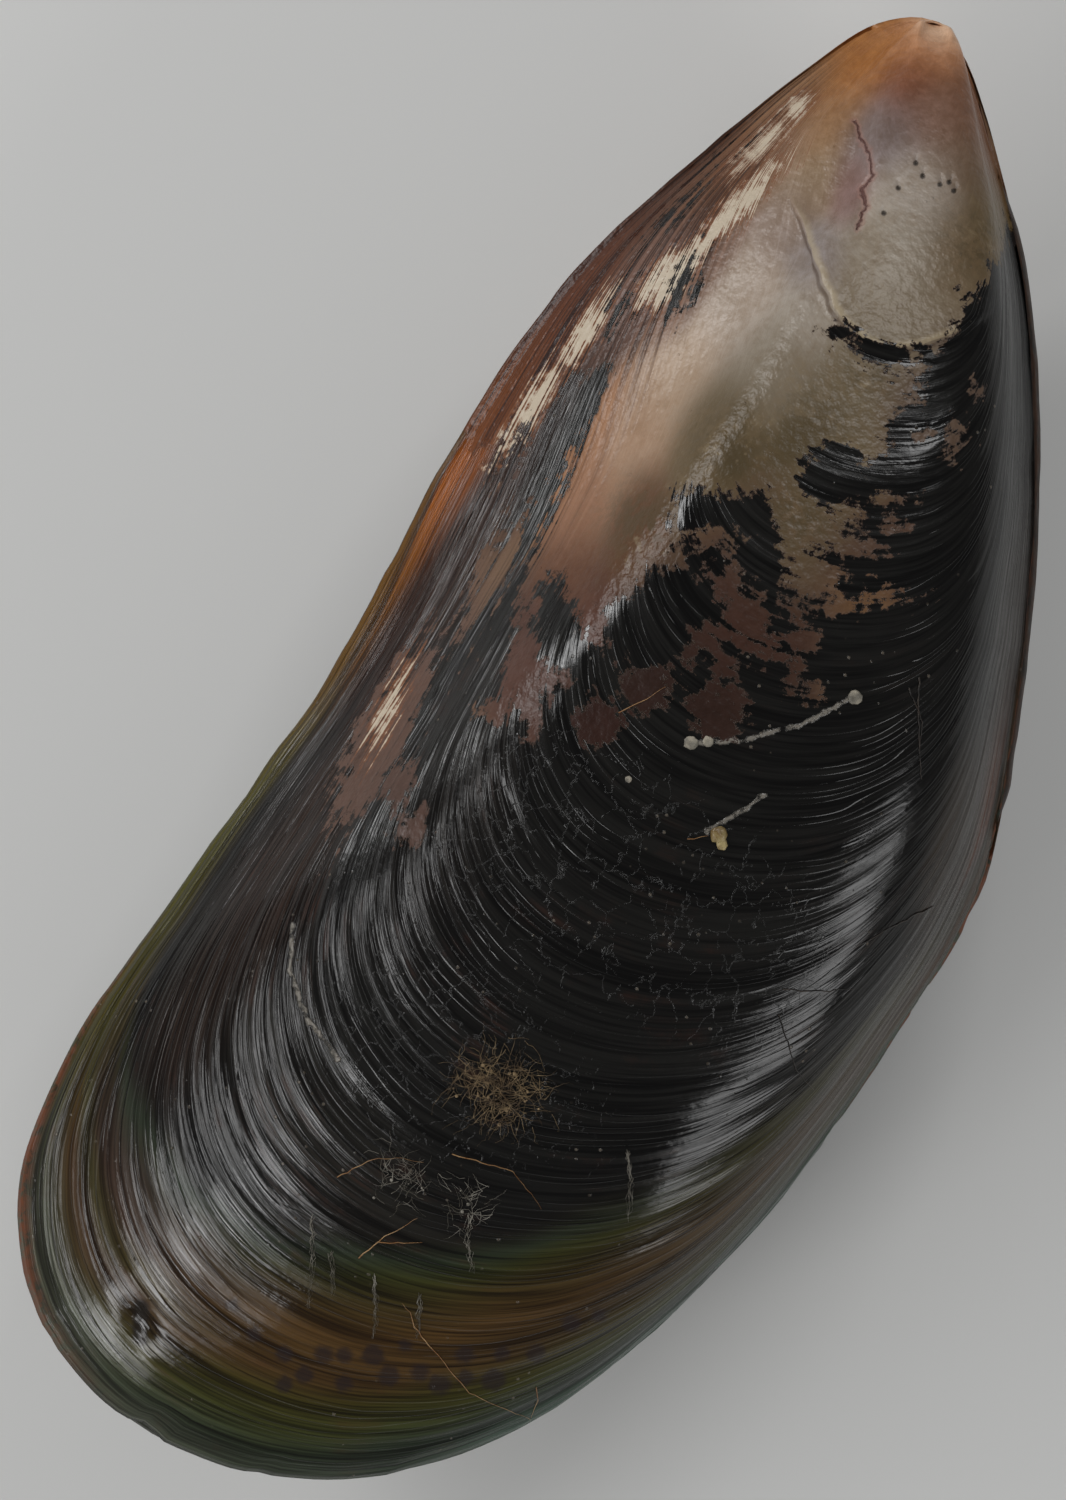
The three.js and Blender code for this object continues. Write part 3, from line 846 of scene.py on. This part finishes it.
def frayed_wear(marks):
    """Where the skin is worn off, 0 to 1, and the thin torn rim round it."""
    wear = scaled(centred(marks.cloud), FRAY.cloud, field("worn"))
    wear = scaled(centred(marks.crumbs), FRAY.crumbs, wear)
    wear = scaled(product(centred(marks.stripes), field("flank")), FRAY.stripes, wear)
    wear = scaled(centred(marks.lines), FRAY.lines, wear)
    bare = rise(wear, 0.492, 0.508)
    rim = product(rise(wear, 0.462, 0.49), opposite(bare))
    return bare, rim


# %% Colour of the bare shell
def bare_colour(marks):
    ground = add_node("ShaderNodeAttribute", attribute_name="ground").outputs["Color"]
    flank = field("flank")
    light = tinted(ground, 1.14, 1.12, 1.12)
    deep = tinted(ground, 0.82, 0.74, 0.66)
    mottle = scaled(marks.crumbs, 0.6, product(marks.cloud, 0.4))
    streak = scaled(marks.stripes, 0.5, product(marks.lines, 0.5))
    plain = blend(rise(mottle, 0.38, 0.62), deep, light)
    plain = blend(rise(marks.threads, 0.42, 0.60, 0.0, 0.30), plain, deep)
    plain = blend(rise(marks.lines, 0.52, 0.68, 0.0, 0.45), plain, light)
    brown = tinted(ground, 0.16, 0.10, 0.08)
    streaked = blend(rise(streak, 0.40, 0.58), brown, light)
    shade = blend(flank, plain, streaked)
    stain = product(field("stained"), rise(mottle, 0.45, 0.55, 0.0, 0.75))
    shade = blend(stain, shade, colour(0.060, 0.040, 0.016))
    flecks = product(field("stained"), rise(mottle, 0.46, 0.38, 0.0, 0.6))
    shade = blend(flecks, shade, colour(0.24, 0.185, 0.11))
    pale = scaled(centred(marks.crumbs), 0.7, field("pale"))
    pale = scaled(centred(marks.lines), 1.1, pale)
    shade = blend(rise(pale, 0.36, 0.48), shade, colour(0.17, 0.060, 0.022))
    shade = blend(rise(pale, 0.49, 0.58), shade, colour(0.50, 0.42, 0.32))
    cap = field("cap")
    # Painted highlight: the raised lip of the cap is painted pale. Painted shadow: a thin dark band just
    # below the lip.
    painted_highlight_on_lip = product(rise(cap, 0.50, 0.53), rise(cap, 0.68, 0.56, 0.0, 0.5), field("lipped"))
    shade = blend(painted_highlight_on_lip, shade, colour(0.42, 0.34, 0.22))
    painted_shadow_under_lip = product(rise(cap, 0.49, 0.46), rise(cap, 0.38, 0.44, 0.0, 0.6), field("lipped"))
    shade = blend(painted_shadow_under_lip, shade, colour(0.055, 0.028, 0.015))
    if marks.crack is not None:
        shade = blend(rise(marks.crack, 0.42, 0.10, 0.0, 0.5), shade, colour(0.30, 0.16, 0.13))
        # The dark core of the crack is painted shade in its recess. The pink edge is the crack's own
        # colour.
        shade = blend(rise(marks.crack, 0.10, 0.04, 0.0, 0.85), shade, colour(0.07, 0.022, 0.018))
    return shade


# %% Colour of the skin
def skin_colour(marks, rim):
    skin = add_node("ShaderNodeAttribute", attribute_name="skin").outputs["Color"]
    dark = tinted(skin, 0.30, 0.27, 0.28)
    light = tinted(skin, 1.5, 1.5, 1.45)
    banding = scaled(marks.stripes, 0.3, product(marks.lines, 0.35))
    banding = scaled(marks.threads, 0.35, banding)
    shade = blend(rise(banding, 0.40, 0.60), dark, light)
    edge = product(field("rim"), rise(marks.crumbs, 0.38, 0.56))
    shade = blend(edge, shade, colour(0.13, 0.045, 0.022))
    rust = product(rise(marks.cloud, 0.52, 0.70), rise(marks.lines, 0.45, 0.7), 0.45, field("ridged"))
    shade = blend(rust, shade, colour(0.060, 0.018, 0.009))
    # Light specks are partly dust and partly painted glints on tiny bumps.
    shade = blend(product(marks.dust, 0.55), shade, colour(0.15, 0.125, 0.095))
    shade = blend(product(rim, 0.35), shade, colour(0.14, 0.085, 0.06))
    if marks.check is not None:
        # The pale line along the check ledges is partly worn shell and partly a painted highlight on the
        # ledge edges.
        shade = blend(product(marks.check, 0.75), shade, colour(0.22, 0.20, 0.17))
    if marks.spotted is not None:
        shade = blend(product(marks.spotted, 0.75), shade, colour(0.018, 0.012, 0.012))
    return shade


# %% Relief finer than the mesh, in millimetres
# How high each pattern stands, or how deep it is cut.
HEIGHT = SimpleNamespace(lines=0.018, bands=0.012, threads=0.014, shingle=0.045, skin=0.05,
                         wrinkle=0.035, hole=0.18, check=0.06, dust=0.05)


def fine_relief(marks, bare):
    sharp = sum_of("ABSOLUTE", scaled(marks.lines, 2.0, -1.0))
    fine = sum_of("ABSOLUTE", scaled(marks.threads, 2.0, -1.0))
    ribs = scaled(sharp, -HEIGHT.lines, product(marks.lines, HEIGHT.bands))
    ribs = scaled(fine, -HEIGHT.threads, ribs)
    ribs = sum_of("ADD", product(marks.shingle, marks.strength, HEIGHT.shingle), ribs)
    ribs = product(ribs, rise(field("ridged"), 0.0, 1.0, 0.40, 1.0))
    ribs = product(ribs, rise(bare, 0.0, 1.0, 1.0, 0.10))
    skin_edge = scaled(opposite(bare), HEIGHT.skin, ribs)
    dimples = product(marks.grain, rise(bare, 0.0, 1.0, 0.016, 0.11))
    height = sum_of("ADD", skin_edge, dimples)
    if marks.crack is not None:
        height = sum_of("ADD", height, rise(marks.crack, 0.02, 0.16, -0.14, 0.0))
    wrinkles = product(marks.wrinkle, opposite(bare))
    height = scaled(wrinkles, HEIGHT.wrinkle, height)
    if marks.holes is not None:
        height = scaled(marks.holes, -HEIGHT.hole, height)
        height = scaled(marks.check, HEIGHT.check, height)
    return scaled(marks.dust, HEIGHT.dust, height)


# %% [markdown]
# All the patterns are made once and handed to the parts above by name: clouds and crumbs in plain
# millimetres, and stripes, lines and threads along the growth. The wrinkles are the edges of
# stretched cells, shown only where the skin has crazed. The left valve adds its own drawn marks.

# %% Patterns of the shell
SHINGLES = 185.0  # overlapping edges from the beak to the margin
SHINGLE_WANDER = 7.0
SHINGLE_EDGE = 0.88


def growth_noise(round_scale, age_scale, shift, detail, rough=0.5):
    return noise_value(along_growth(round_scale, age_scale, shift), 1.0, detail, rough)


def growth_marks(place, shift):
    """The patterns that both valves have, each by its name."""
    marks = SimpleNamespace(
        cloud=noise_value(place, 0.17, 4.0, 0.6),
        crumbs=noise_value(place, 0.95, 7.0, 0.70, 0.3),
        grain=noise_value(place, 1.5, 2.0, 0.5),
        stripes=growth_noise(6, 34, shift, 4.0, 0.6),
        lines=growth_noise(9, 190, shift, 3.0, 0.6),
        threads=growth_noise(18, 420, shift, 2.0, 0.6),
        crack=None, holes=None, check=None, pit=None, spotted=None)
    growth = add_node("ShaderNodeUVMap", uv_map="growth").outputs[0]
    age = add_node("ShaderNodeSeparateXYZ", {0: growth}).outputs[1]
    wander = product(growth_noise(7, 30, shift, 2.0), SHINGLE_WANDER)
    phase = sum_of("FRACT", scaled(age, SHINGLES, wander))
    marks.shingle = product(rise(phase, 0.0, SHINGLE_EDGE), rise(phase, 1.0, SHINGLE_EDGE))
    marks.strength = rise(growth_noise(5, 60, shift, 2.0), 0.35, 0.65, 0.15, 1.0)
    wobble = add_node("ShaderNodeTexNoise", {"Vector": place, "Scale": 0.5, "Detail": 3.0})
    bent = vector_math("MULTIPLY_ADD", {0: wobble.outputs["Color"], 1: (3.5, 3.5, 3.5), 2: place})
    cells = add_node("ShaderNodeTexVoronoi", {"Vector": bent, "Scale": 0.42}, feature="DISTANCE_TO_EDGE")
    broken = rise(marks.crumbs, 0.44, 0.56)
    marks.wrinkle = product(rise(cells.outputs["Distance"], 0.035, 0.006), broken,
                            rise(field("crazed"), 0.1, 0.6))
    specks = add_node("ShaderNodeTexVoronoi", {"Vector": place, "Scale": 0.8})
    marks.dust = product(rise(specks.outputs["Distance"], 0.12, 0.06), rise(marks.cloud, 0.48, 0.60))
    return marks


# %% Marks that only the left valve has
def add_drawn_marks(marks, place):
    flat = millimetres(flat=True)
    ragged = add_node("ShaderNodeTexNoise", {"Vector": place, "Scale": 1.6, "Detail": 2.0})
    near = vector_math("MULTIPLY_ADD", {0: ragged.outputs["Color"], 1: (0.6, 0.6, 0.0), 2: flat})
    near = vector_math("SUBTRACT", {0: near, 1: (0.3, 0.3, 0.0)})
    marks.crack = line_distance(near, CRACK)
    check = FAR
    for corners in CHECK_LINES:
        check = sum_of("MINIMUM", line_distance(near, corners), check)
    marks.check = product(rise(check, 0.22, 0.06), rise(marks.crumbs, 0.40, 0.52))
    marks.holes = spots(flat, [(x, y, 0.16) for x, y in PINHOLES], 0.10)
    marks.pit = rise(line_distance(flat, PIT), 0.80, 0.35)
    marks.spotted = spots(near, [(x, y, radius * 1.35) for x, y, radius in REAR_SPOTS], 0.28)


# %% Put the shell material together
SHELL_IOR = 1.36


def shell_material(name, shift, left):
    material = new_material(name)
    place = millimetres(shift=shift)
    marks = growth_marks(place, shift)
    if left:
        add_drawn_marks(marks, place)
    bare, rim = frayed_wear(marks)
    shade = blend(bare, skin_colour(marks, rim), bare_colour(marks))
    if left:
        # Painted shade: the pinholes and the pit at the rear are painted near black inside.
        painted_shade_in_holes = sum_of("MAXIMUM", marks.holes, marks.pit)
        shade = blend(product(painted_shade_in_holes, 0.9), shade, colour(0.012, 0.009, 0.007))
    pearl = blend(marks.cloud, colour(0.50, 0.54, 0.57), colour(0.74, 0.70, 0.68))
    shade = blend(rise(field("inner_side"), 0.55, 0.95), shade, pearl)
    gloss = scaled(marks.crumbs, 0.16, rise(marks.lines, 0.42, 0.58, 0.02, 0.14))
    satin = scaled(marks.crumbs, 0.16, 0.25)
    bump = add_node("ShaderNodeBump", {"Height": fine_relief(marks, bare), "Distance": 0.001})
    finish_tree(Base_Color=shade, Roughness=blend_numbers(bare, gloss, satin), IOR=SHELL_IOR,
                Normal=bump.outputs[0])
    return material


for piece, node, shift in ((left_valve, "left_valve", 0.0), (right_valve, "right_valve", 40.0)):
    piece.data.materials.append(shell_material(node + "_finish", shift, node == "left_valve"))
    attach(piece, "root")
    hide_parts(node)
print("valves finished")

# %% [markdown]
# ## The ligament
# The ligament is a springy strip of dark horn that lies in the slot between the hinge margins and
# pushes the valves open when the animal lets go. It is a grid rolled into a tube along the hinge
# line: an oval section, tapered at both ends, with fine lengthwise fibres.

# %% Roll a grid into the ligament
HORN_IOR = 1.33
LIGAMENT_WIDE, LIGAMENT_HIGH = 1.15, 1.02  # half sizes of its section
LIGAMENT_IN = 0.7  # the middle of the section lies this far inside the hinge line


def make_ligament(name, along_segments, round_segments):
    mesh, along, around = grid_mesh(name, along_segments, round_segments)
    share = along / along_segments
    angle = around % round_segments / round_segments * 2 * np.pi
    path_x = LIGAMENT_FROM - 2 + share * (LIGAMENT_TO - LIGAMENT_FROM + 4)
    path_y = np.interp(path_x, hinge_line[:, 0], hinge_line[:, 1])
    slope = np.interp(path_x + 0.5, hinge_line[:, 0], hinge_line[:, 1]) - path_y
    out_x, out_y = -slope / np.hypot(slope, 0.5), 0.5 / np.hypot(slope, 0.5)
    taper = np.sqrt(np.clip(np.minimum(share, 1 - share) / 0.10, 0, 1))
    fibres = 0.05 * wavering(angle * 5 + 0.4 * wavering(share * 20, 71), 72)
    lumps = 0.03 * wavering(share * 22, 73)
    radius = taper * (1 + fibres + lumps)
    out = -LIGAMENT_IN + LIGAMENT_WIDE * np.cos(angle) * radius
    up = LIGAMENT_HIGH * np.sign(np.sin(angle)) * np.abs(np.sin(angle)) ** 0.8 * radius
    points = np.stack([path_x + out_x * out, path_y + out_y * out, up], -1)
    mesh.vertices.foreach_set("co", ((points + TO_FRAME) * MM).ravel())
    close_up(mesh)
    return place_piece(mesh)


def horn_material():
    material = new_material("ligament_horn")
    place = millimetres()
    strands = noise_value(along_growth(30, 14), 1.0, 4.0, 0.6)
    patches = noise_value(place, 0.6, 3.0)
    shade = blend(rise(strands, 0.35, 0.65), colour(0.008, 0.005, 0.003), colour(0.036, 0.015, 0.007))
    shade = blend(rise(patches, 0.55, 0.7, 0.0, 0.5), shade, colour(0.050, 0.028, 0.016))
    bump = add_node("ShaderNodeBump", {"Height": product(strands, 0.12), "Distance": 0.001})
    finish_tree(Base_Color=shade, IOR=HORN_IOR, Roughness=rise(patches, 0.3, 0.7, 0.35, 0.55),
                Normal=bump.outputs[0])
    return material


ligament = make_ligament("ligament_strip", 200, 24)
ligament.data.materials.append(horn_material())
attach(ligament, "root")
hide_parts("ligament")

# %% [markdown]
# ## What grows on the shell
# A few tufts of fine branching threads, single hairs, scars of barnacles and one grain sit on the
# left valve. Each thread is a small four-sided tube: a circle is extruded along a wandering path
# that is dropped on to the surface by casting a ray down, and each step is thinner.

# %% Find the surface, and extrude a thread over it
valve_bm = bmesh.new()
valve_bm.from_mesh(left_valve.data)
surface = BVHTree.FromBMesh(valve_bm)
valve_bm.free()


def on_surface(x, y, lift):
    start = Vector(((x + TO_FRAME[0]) * MM, (y + TO_FRAME[1]) * MM, 0.1))
    hit, normal, _, _ = surface.ray_cast(start, Vector((0, 0, -1)))
    return (hit + normal * lift * MM, normal) if hit else (None, None)


THREAD_TAPER = 0.7  # share of its radius that a thread has lost at its end
THREAD_STEP = 0.38  # mm from one bend to the next


def extrude_thread(bm, path, radius):
    """A closed four-sided tube along the path, thinner towards its end."""
    ring = bmesh.ops.create_circle(bm, cap_ends=True, segments=4, radius=radius)["verts"]
    heading = path[1] - path[0]
    bmesh.ops.rotate(bm, verts=ring, matrix=heading.to_track_quat("Z", "Y").to_matrix())
    bmesh.ops.translate(bm, verts=ring, vec=path[0])
    face = ring[0].link_faces[0]
    steps = len(path) - 1
    for n in range(steps):
        last = face
        made = bmesh.ops.extrude_face_region(bm, geom=[face])["geom"]
        ring = [part for part in made if isinstance(part, bmesh.types.BMVert)]
        face = next(part for part in made if isinstance(part, bmesh.types.BMFace))
        bmesh.ops.translate(bm, verts=ring, vec=path[n + 1] - path[n])
        shrink = (1 - THREAD_TAPER * (n + 1) / steps) / (1 - THREAD_TAPER * n / steps)
        for vert in ring:
            vert.co = path[n + 1] + (vert.co - path[n + 1]) * shrink
        if n > 0:
            bmesh.ops.delete(bm, geom=[last], context="FACES_ONLY")


# %% Paths over the shell
def surface_path(corners, lift, wander, step, rng):
    """Points over the shell along drawn corners, with a little sideways wander."""
    path = []
    for (ax, ay), (bx, by) in zip(corners[:-1], corners[1:]):
        steps = max(2, int(math.hypot(bx - ax, by - ay) / step))
        for n in range(steps + (1 if (bx, by) == corners[-1] else 0)):
            share = n / steps
            x = ax + (bx - ax) * share + rng.uniform(-wander, wander)
            y = ay + (by - ay) * share + rng.uniform(-wander, wander)
            point, _ = on_surface(x, y, lift * rng.uniform(0.6, 1.4))
            if point:
                path.append(point)
    return path


def wandering_path(x, y, angle, length, height, rng):
    """A thread that leaves the surface, arches over and wanders as it goes."""
    path = []
    steps = max(4, int(length / THREAD_STEP))
    for n in range(steps + 1):
        arch = math.sin(math.pi * min(1.0, 0.15 + 0.8 * n / steps))
        point, _ = on_surface(x, y, 0.02 + height * arch * rng.uniform(0.7, 1.3))
        if point:
            path.append(point)
        angle += rng.gauss(0, 0.42)
        x += THREAD_STEP * math.cos(angle)
        y += THREAD_STEP * math.sin(angle)
    return path


# %% Turn threads into pieces
def piece_from(bm, name, material):
    bmesh.ops.recalc_face_normals(bm, faces=bm.faces)
    mesh = bpy.data.meshes.new(name)
    bm.to_mesh(mesh)
    print(name, sum(len(face.verts) - 2 for face in bm.faces), "triangles")
    bm.free()
    piece = place_piece(mesh, material)
    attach(piece, "root")
    return piece


def thread_material(name, dark, light, rough):
    material = new_material(name)
    place = millimetres()
    mixed = noise_value(place, 0.8, 3.0)
    bump = add_node("ShaderNodeBump", {"Height": noise_value(place, 14.0), "Distance": 0.00002})
    finish_tree(Base_Color=blend(rise(mixed, 0.38, 0.62), dark, light),
                Roughness=rise(mixed, 0.3, 0.7, rough - 0.1, rough + 0.1), Normal=bump.outputs[0])
    return material


# %% [markdown]
# The big tuft and two small ones are threads that start near one spot and wander off in every
# direction. The brown hairs and the pale strands are drawn by their ends.

# %% Places of the tufts, hairs and strands
TUFTS = [  # x, y, spread at the start, threads, longest, height
    (84, 12, 1.3, 210, 3.4, 0.8), (84.8, 9.8, 0.9, 60, 2.8, 0.5), (93.6, 8.9, 1.1, 60, 2.2, 0.35),
    (92.8, 13.9, 0.7, 44, 2, 0.45)]
BROWN_HAIRS = [
    [(56.4, 5.4), (54.6, 6.6), (53.1, 7.4)], [(95.9, 4.6), (93.4, 6.2), (92.3, 8), (91.8, 9.5)],
    [(100.3, 8.9), (98, 9.8), (95.5, 11.2)], [(102.8, 15), (103.8, 17.5), (105.2, 21), (104.9, 26.1)],
    [(102.5, 25.1), (103.4, 25.8), (104.8, 26)], [(102.8, 15), (102, 14.2), (101.7, 13.4)],
    [(98.6, 9.6), (97, 12.4)], [(61.8, 14.2), (60.9, 15.4)], [(90.2, 11), (89, 15.4), (90.4, 18.6)]]
DARK_HAIRS = [
    [(43.3, 22.9), (45.6, 24.2), (49.6, 26.8)], [(44.4, 22.7), (46, 24.8), (48, 25.6)],
    [(57.1, 32.4), (60, 30.3), (62.6, 28.7)], [(67.8, 25.7), (66.4, 28.4), (65.2, 30.2)],
    [(69.5, 26.4), (72.4, 29.6), (73, 31.5)]]
PALE_STRANDS = [
    [(83.7, 22), (85.6, 23.4), (87.9, 24.4)], [(101, 10.6), (103, 11.9), (104.9, 12.8)],
    [(99.4, 4.5), (102.4, 6.2), (105.4, 7.5)], [(93.4, 14.4), (95.2, 15.2), (97, 16.6)],
    [(101, 7), (103.6, 8.6)], [(100.6, 14.2), (103.4, 15.6)]]
GOLDEN = thread_material("golden_growth", colour(0.085, 0.050, 0.020), colour(0.26, 0.18, 0.09), 0.55)
BROWN = thread_material("brown_hair", colour(0.20, 0.09, 0.03), colour(0.36, 0.22, 0.10), 0.4)
DARK = thread_material("dark_hair", colour(0.010, 0.008, 0.007), colour(0.030, 0.020, 0.014), 0.35)
PALE = thread_material("pale_strand", colour(0.09, 0.08, 0.06), colour(0.27, 0.25, 0.21), 0.45)

# %% Make the tufts
for number, (x, y, spread, count, longest, height) in enumerate(TUFTS):
    rng = random.Random(300 + number)
    bm = bmesh.new()
    for _ in range(count):
        start_x, start_y = x + rng.gauss(0, spread), y + rng.gauss(0, spread)
        length = longest * rng.uniform(0.3, 1.0) ** 1.3
        path = wandering_path(start_x, start_y, rng.uniform(0, 2 * math.pi), length,
                              height * rng.uniform(0.1, 1.0), rng)
        if len(path) > 2:
            extrude_thread(bm, path, rng.uniform(0.009, 0.019) * MM)
    for _ in range(count // 12):
        point, _ = on_surface(x + rng.gauss(0, spread), y + rng.gauss(0, spread), 0.15)
        grain = bmesh.ops.create_icosphere(bm, subdivisions=1, radius=rng.uniform(0.06, 0.16) * MM)
        bmesh.ops.translate(bm, verts=grain["verts"], vec=point)
    piece_from(bm, "tuft_%d" % (number + 1), GOLDEN if number < 2 else PALE)

# %% Make the hairs and strands
for name, lines, material, radius, strands in (
        ("brown_hairs", BROWN_HAIRS, BROWN, 0.042, 1), ("dark_hairs", DARK_HAIRS, DARK, 0.06, 1),
        ("pale_strands", PALE_STRANDS, PALE, 0.016, 6)):
    rng = random.Random(len(name))
    bm = bmesh.new()
    for line in lines:
        for strand in range(strands):
            path = surface_path(line, 0.06, 0.06 if strands == 1 else 0.24, 0.42, rng)
            extrude_thread(bm, path, radius * rng.uniform(0.8, 1.1) * MM)
    piece_from(bm, name, material)

# %% [markdown]
# Young barnacles leave small chalky rings. Each is a ball pressed flat, with its middle pushed in.
# The grain is a ball as well, pulled into a lump.

# %% Barnacle scars and a grain
SCARS = [(55.7, 11.0, 0.50), (55.0, 12.0, 0.42), (46.9, 19.6, 0.55), (60.2, 8.4, 0.25)]
CHALK = thread_material("chalk_scar", colour(0.11, 0.10, 0.08), colour(0.30, 0.27, 0.21), 0.6)
GRAIN = thread_material("yellow_grain", colour(0.13, 0.08, 0.025), colour(0.32, 0.25, 0.11), 0.4)


def lump_on(bm, x, y, radius, flatness, hollow, seed):
    point, normal = on_surface(x, y, 0.0)
    ball = bmesh.ops.create_icosphere(bm, subdivisions=3, radius=1.0)["verts"]
    turn_up = normal.to_track_quat("Z", "Y").to_matrix()
    for vert in ball:
        spot = vert.co.copy()
        bumpy = 1 + 0.22 * noise.noise(spot * 1.7 + Vector((seed, 0, 0)))
        bumpy += 0.08 * noise.noise(spot * 5.0)
        centre = math.exp(-(spot.x ** 2 + spot.y ** 2) / 0.22)
        height = spot.z * flatness * bumpy - (hollow * centre if spot.z > 0 else 0)
        vert.co = point + turn_up @ (Vector((spot.x * bumpy, spot.y * bumpy, height)) * radius * MM)


bm = bmesh.new()
for number, (x, y, radius) in enumerate(SCARS):
    lump_on(bm, x, y, radius, 0.42, 0.36, number * 3.1)
piece_from(bm, "barnacle_scars", CHALK)
bm = bmesh.new()
lump_on(bm, 60.4, 16.0, 0.62, 0.75, 0.1, 11.0)
lump_on(bm, 60.9, 16.6, 0.42, 0.75, 0.1, 17.0)
piece_from(bm, "yellow_grains", GRAIN)

# %% [markdown]
# ## Floor, light and camera
# The camera looks straight down on the seam from far away, so the outline is nearly free of
# perspective. Soft lights on the left and right draw long highlights along the crest, a small one
# picks out the ridges at the rear, and two more lift the worn shell of the crest and the beak.

# %% Floor
floor_bm = bmesh.new()
bmesh.ops.create_grid(floor_bm, x_segments=1, y_segments=1, size=3.0)
floor_mesh = bpy.data.meshes.new("floor")
floor_bm.to_mesh(floor_mesh)
floor_bm.free()
floor = add_object("floor", floor_mesh)
floor_material = bpy.data.materials.new("pale_floor")
floor_material.use_nodes = True
floor_shader = floor_material.node_tree.nodes["Principled BSDF"]
floor_shader.inputs["Base Color"].default_value = colour(0.62, 0.62, 0.61)
floor_shader.inputs["Roughness"].default_value = 0.8
floor.data.materials.append(floor_material)
print("floor", floor.dimensions.x, "m wide")

# %% Lights
IMAGE_TURN = math.radians(120)
image_right = Vector((math.cos(IMAGE_TURN), math.sin(IMAGE_TURN), 0))
image_up = Vector((-math.sin(IMAGE_TURN), math.cos(IMAGE_TURN), 0))
aim = Vector((0, 0, 0.02))


def soft_light(name, right, up, height, width, length, power):
    lamp = bpy.data.lights.new(name, "AREA")
    lamp.shape = "RECTANGLE"
    lamp.size = width
    lamp.size_y = length
    lamp.energy = power
    lamp_object = add_object(name, lamp)
    lamp_object.location = aim + image_right * right + image_up * up + Vector((0, 0, height))
    lamp_object.rotation_euler = (aim - lamp_object.location).to_track_quat("-Z", "Y").to_euler()


soft_light("left_light", -0.42, -0.10, 0.37, 0.76, 0.08, 1.4)
soft_light("rear_light", -0.43, -0.31, 0.34, 0.14, 0.12, 0.45)
soft_light("crest_light", -0.41, 0.38, 0.26, 0.16, 0.12, 1.0)
soft_light("beak_light", 0.17, 0.37, 0.45, 0.26, 0.12, 0.9)
soft_light("right_light", 0.38, -0.36, 0.27, 0.36, 0.16, 1.05)

world = bpy.data.worlds.new("studio")
world.use_nodes = True
sky = world.node_tree.nodes["Background"]
sky.inputs["Color"].default_value = colour(0.82, 0.83, 0.84)
sky.inputs["Strength"].default_value = 0.19
bpy.context.scene.world = world
bpy.context.scene.view_settings.view_transform = "Standard"
print(len(bpy.data.lights), "lights")

# %% Camera
LENS = 200.0
SENSOR = 36.0
FRAME_HEIGHT = 0.1115
MIDDLE_X, MIDDLE_Y = 0.00184, -0.00784
seam_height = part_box("left_valve")[0].z
camera_data = bpy.data.cameras.new("camera")
camera_data.lens = LENS
camera_data.sensor_width = SENSOR
camera_data.clip_start = 0.01
camera = add_object("camera", camera_data)
distance = LENS / SENSOR * FRAME_HEIGHT
camera.location = Vector((MIDDLE_X, MIDDLE_Y, seam_height + distance))
camera.rotation_euler = (0, 0, IMAGE_TURN)
bpy.context.scene.camera = camera
print("camera", round(distance, 3), "m over the seam")
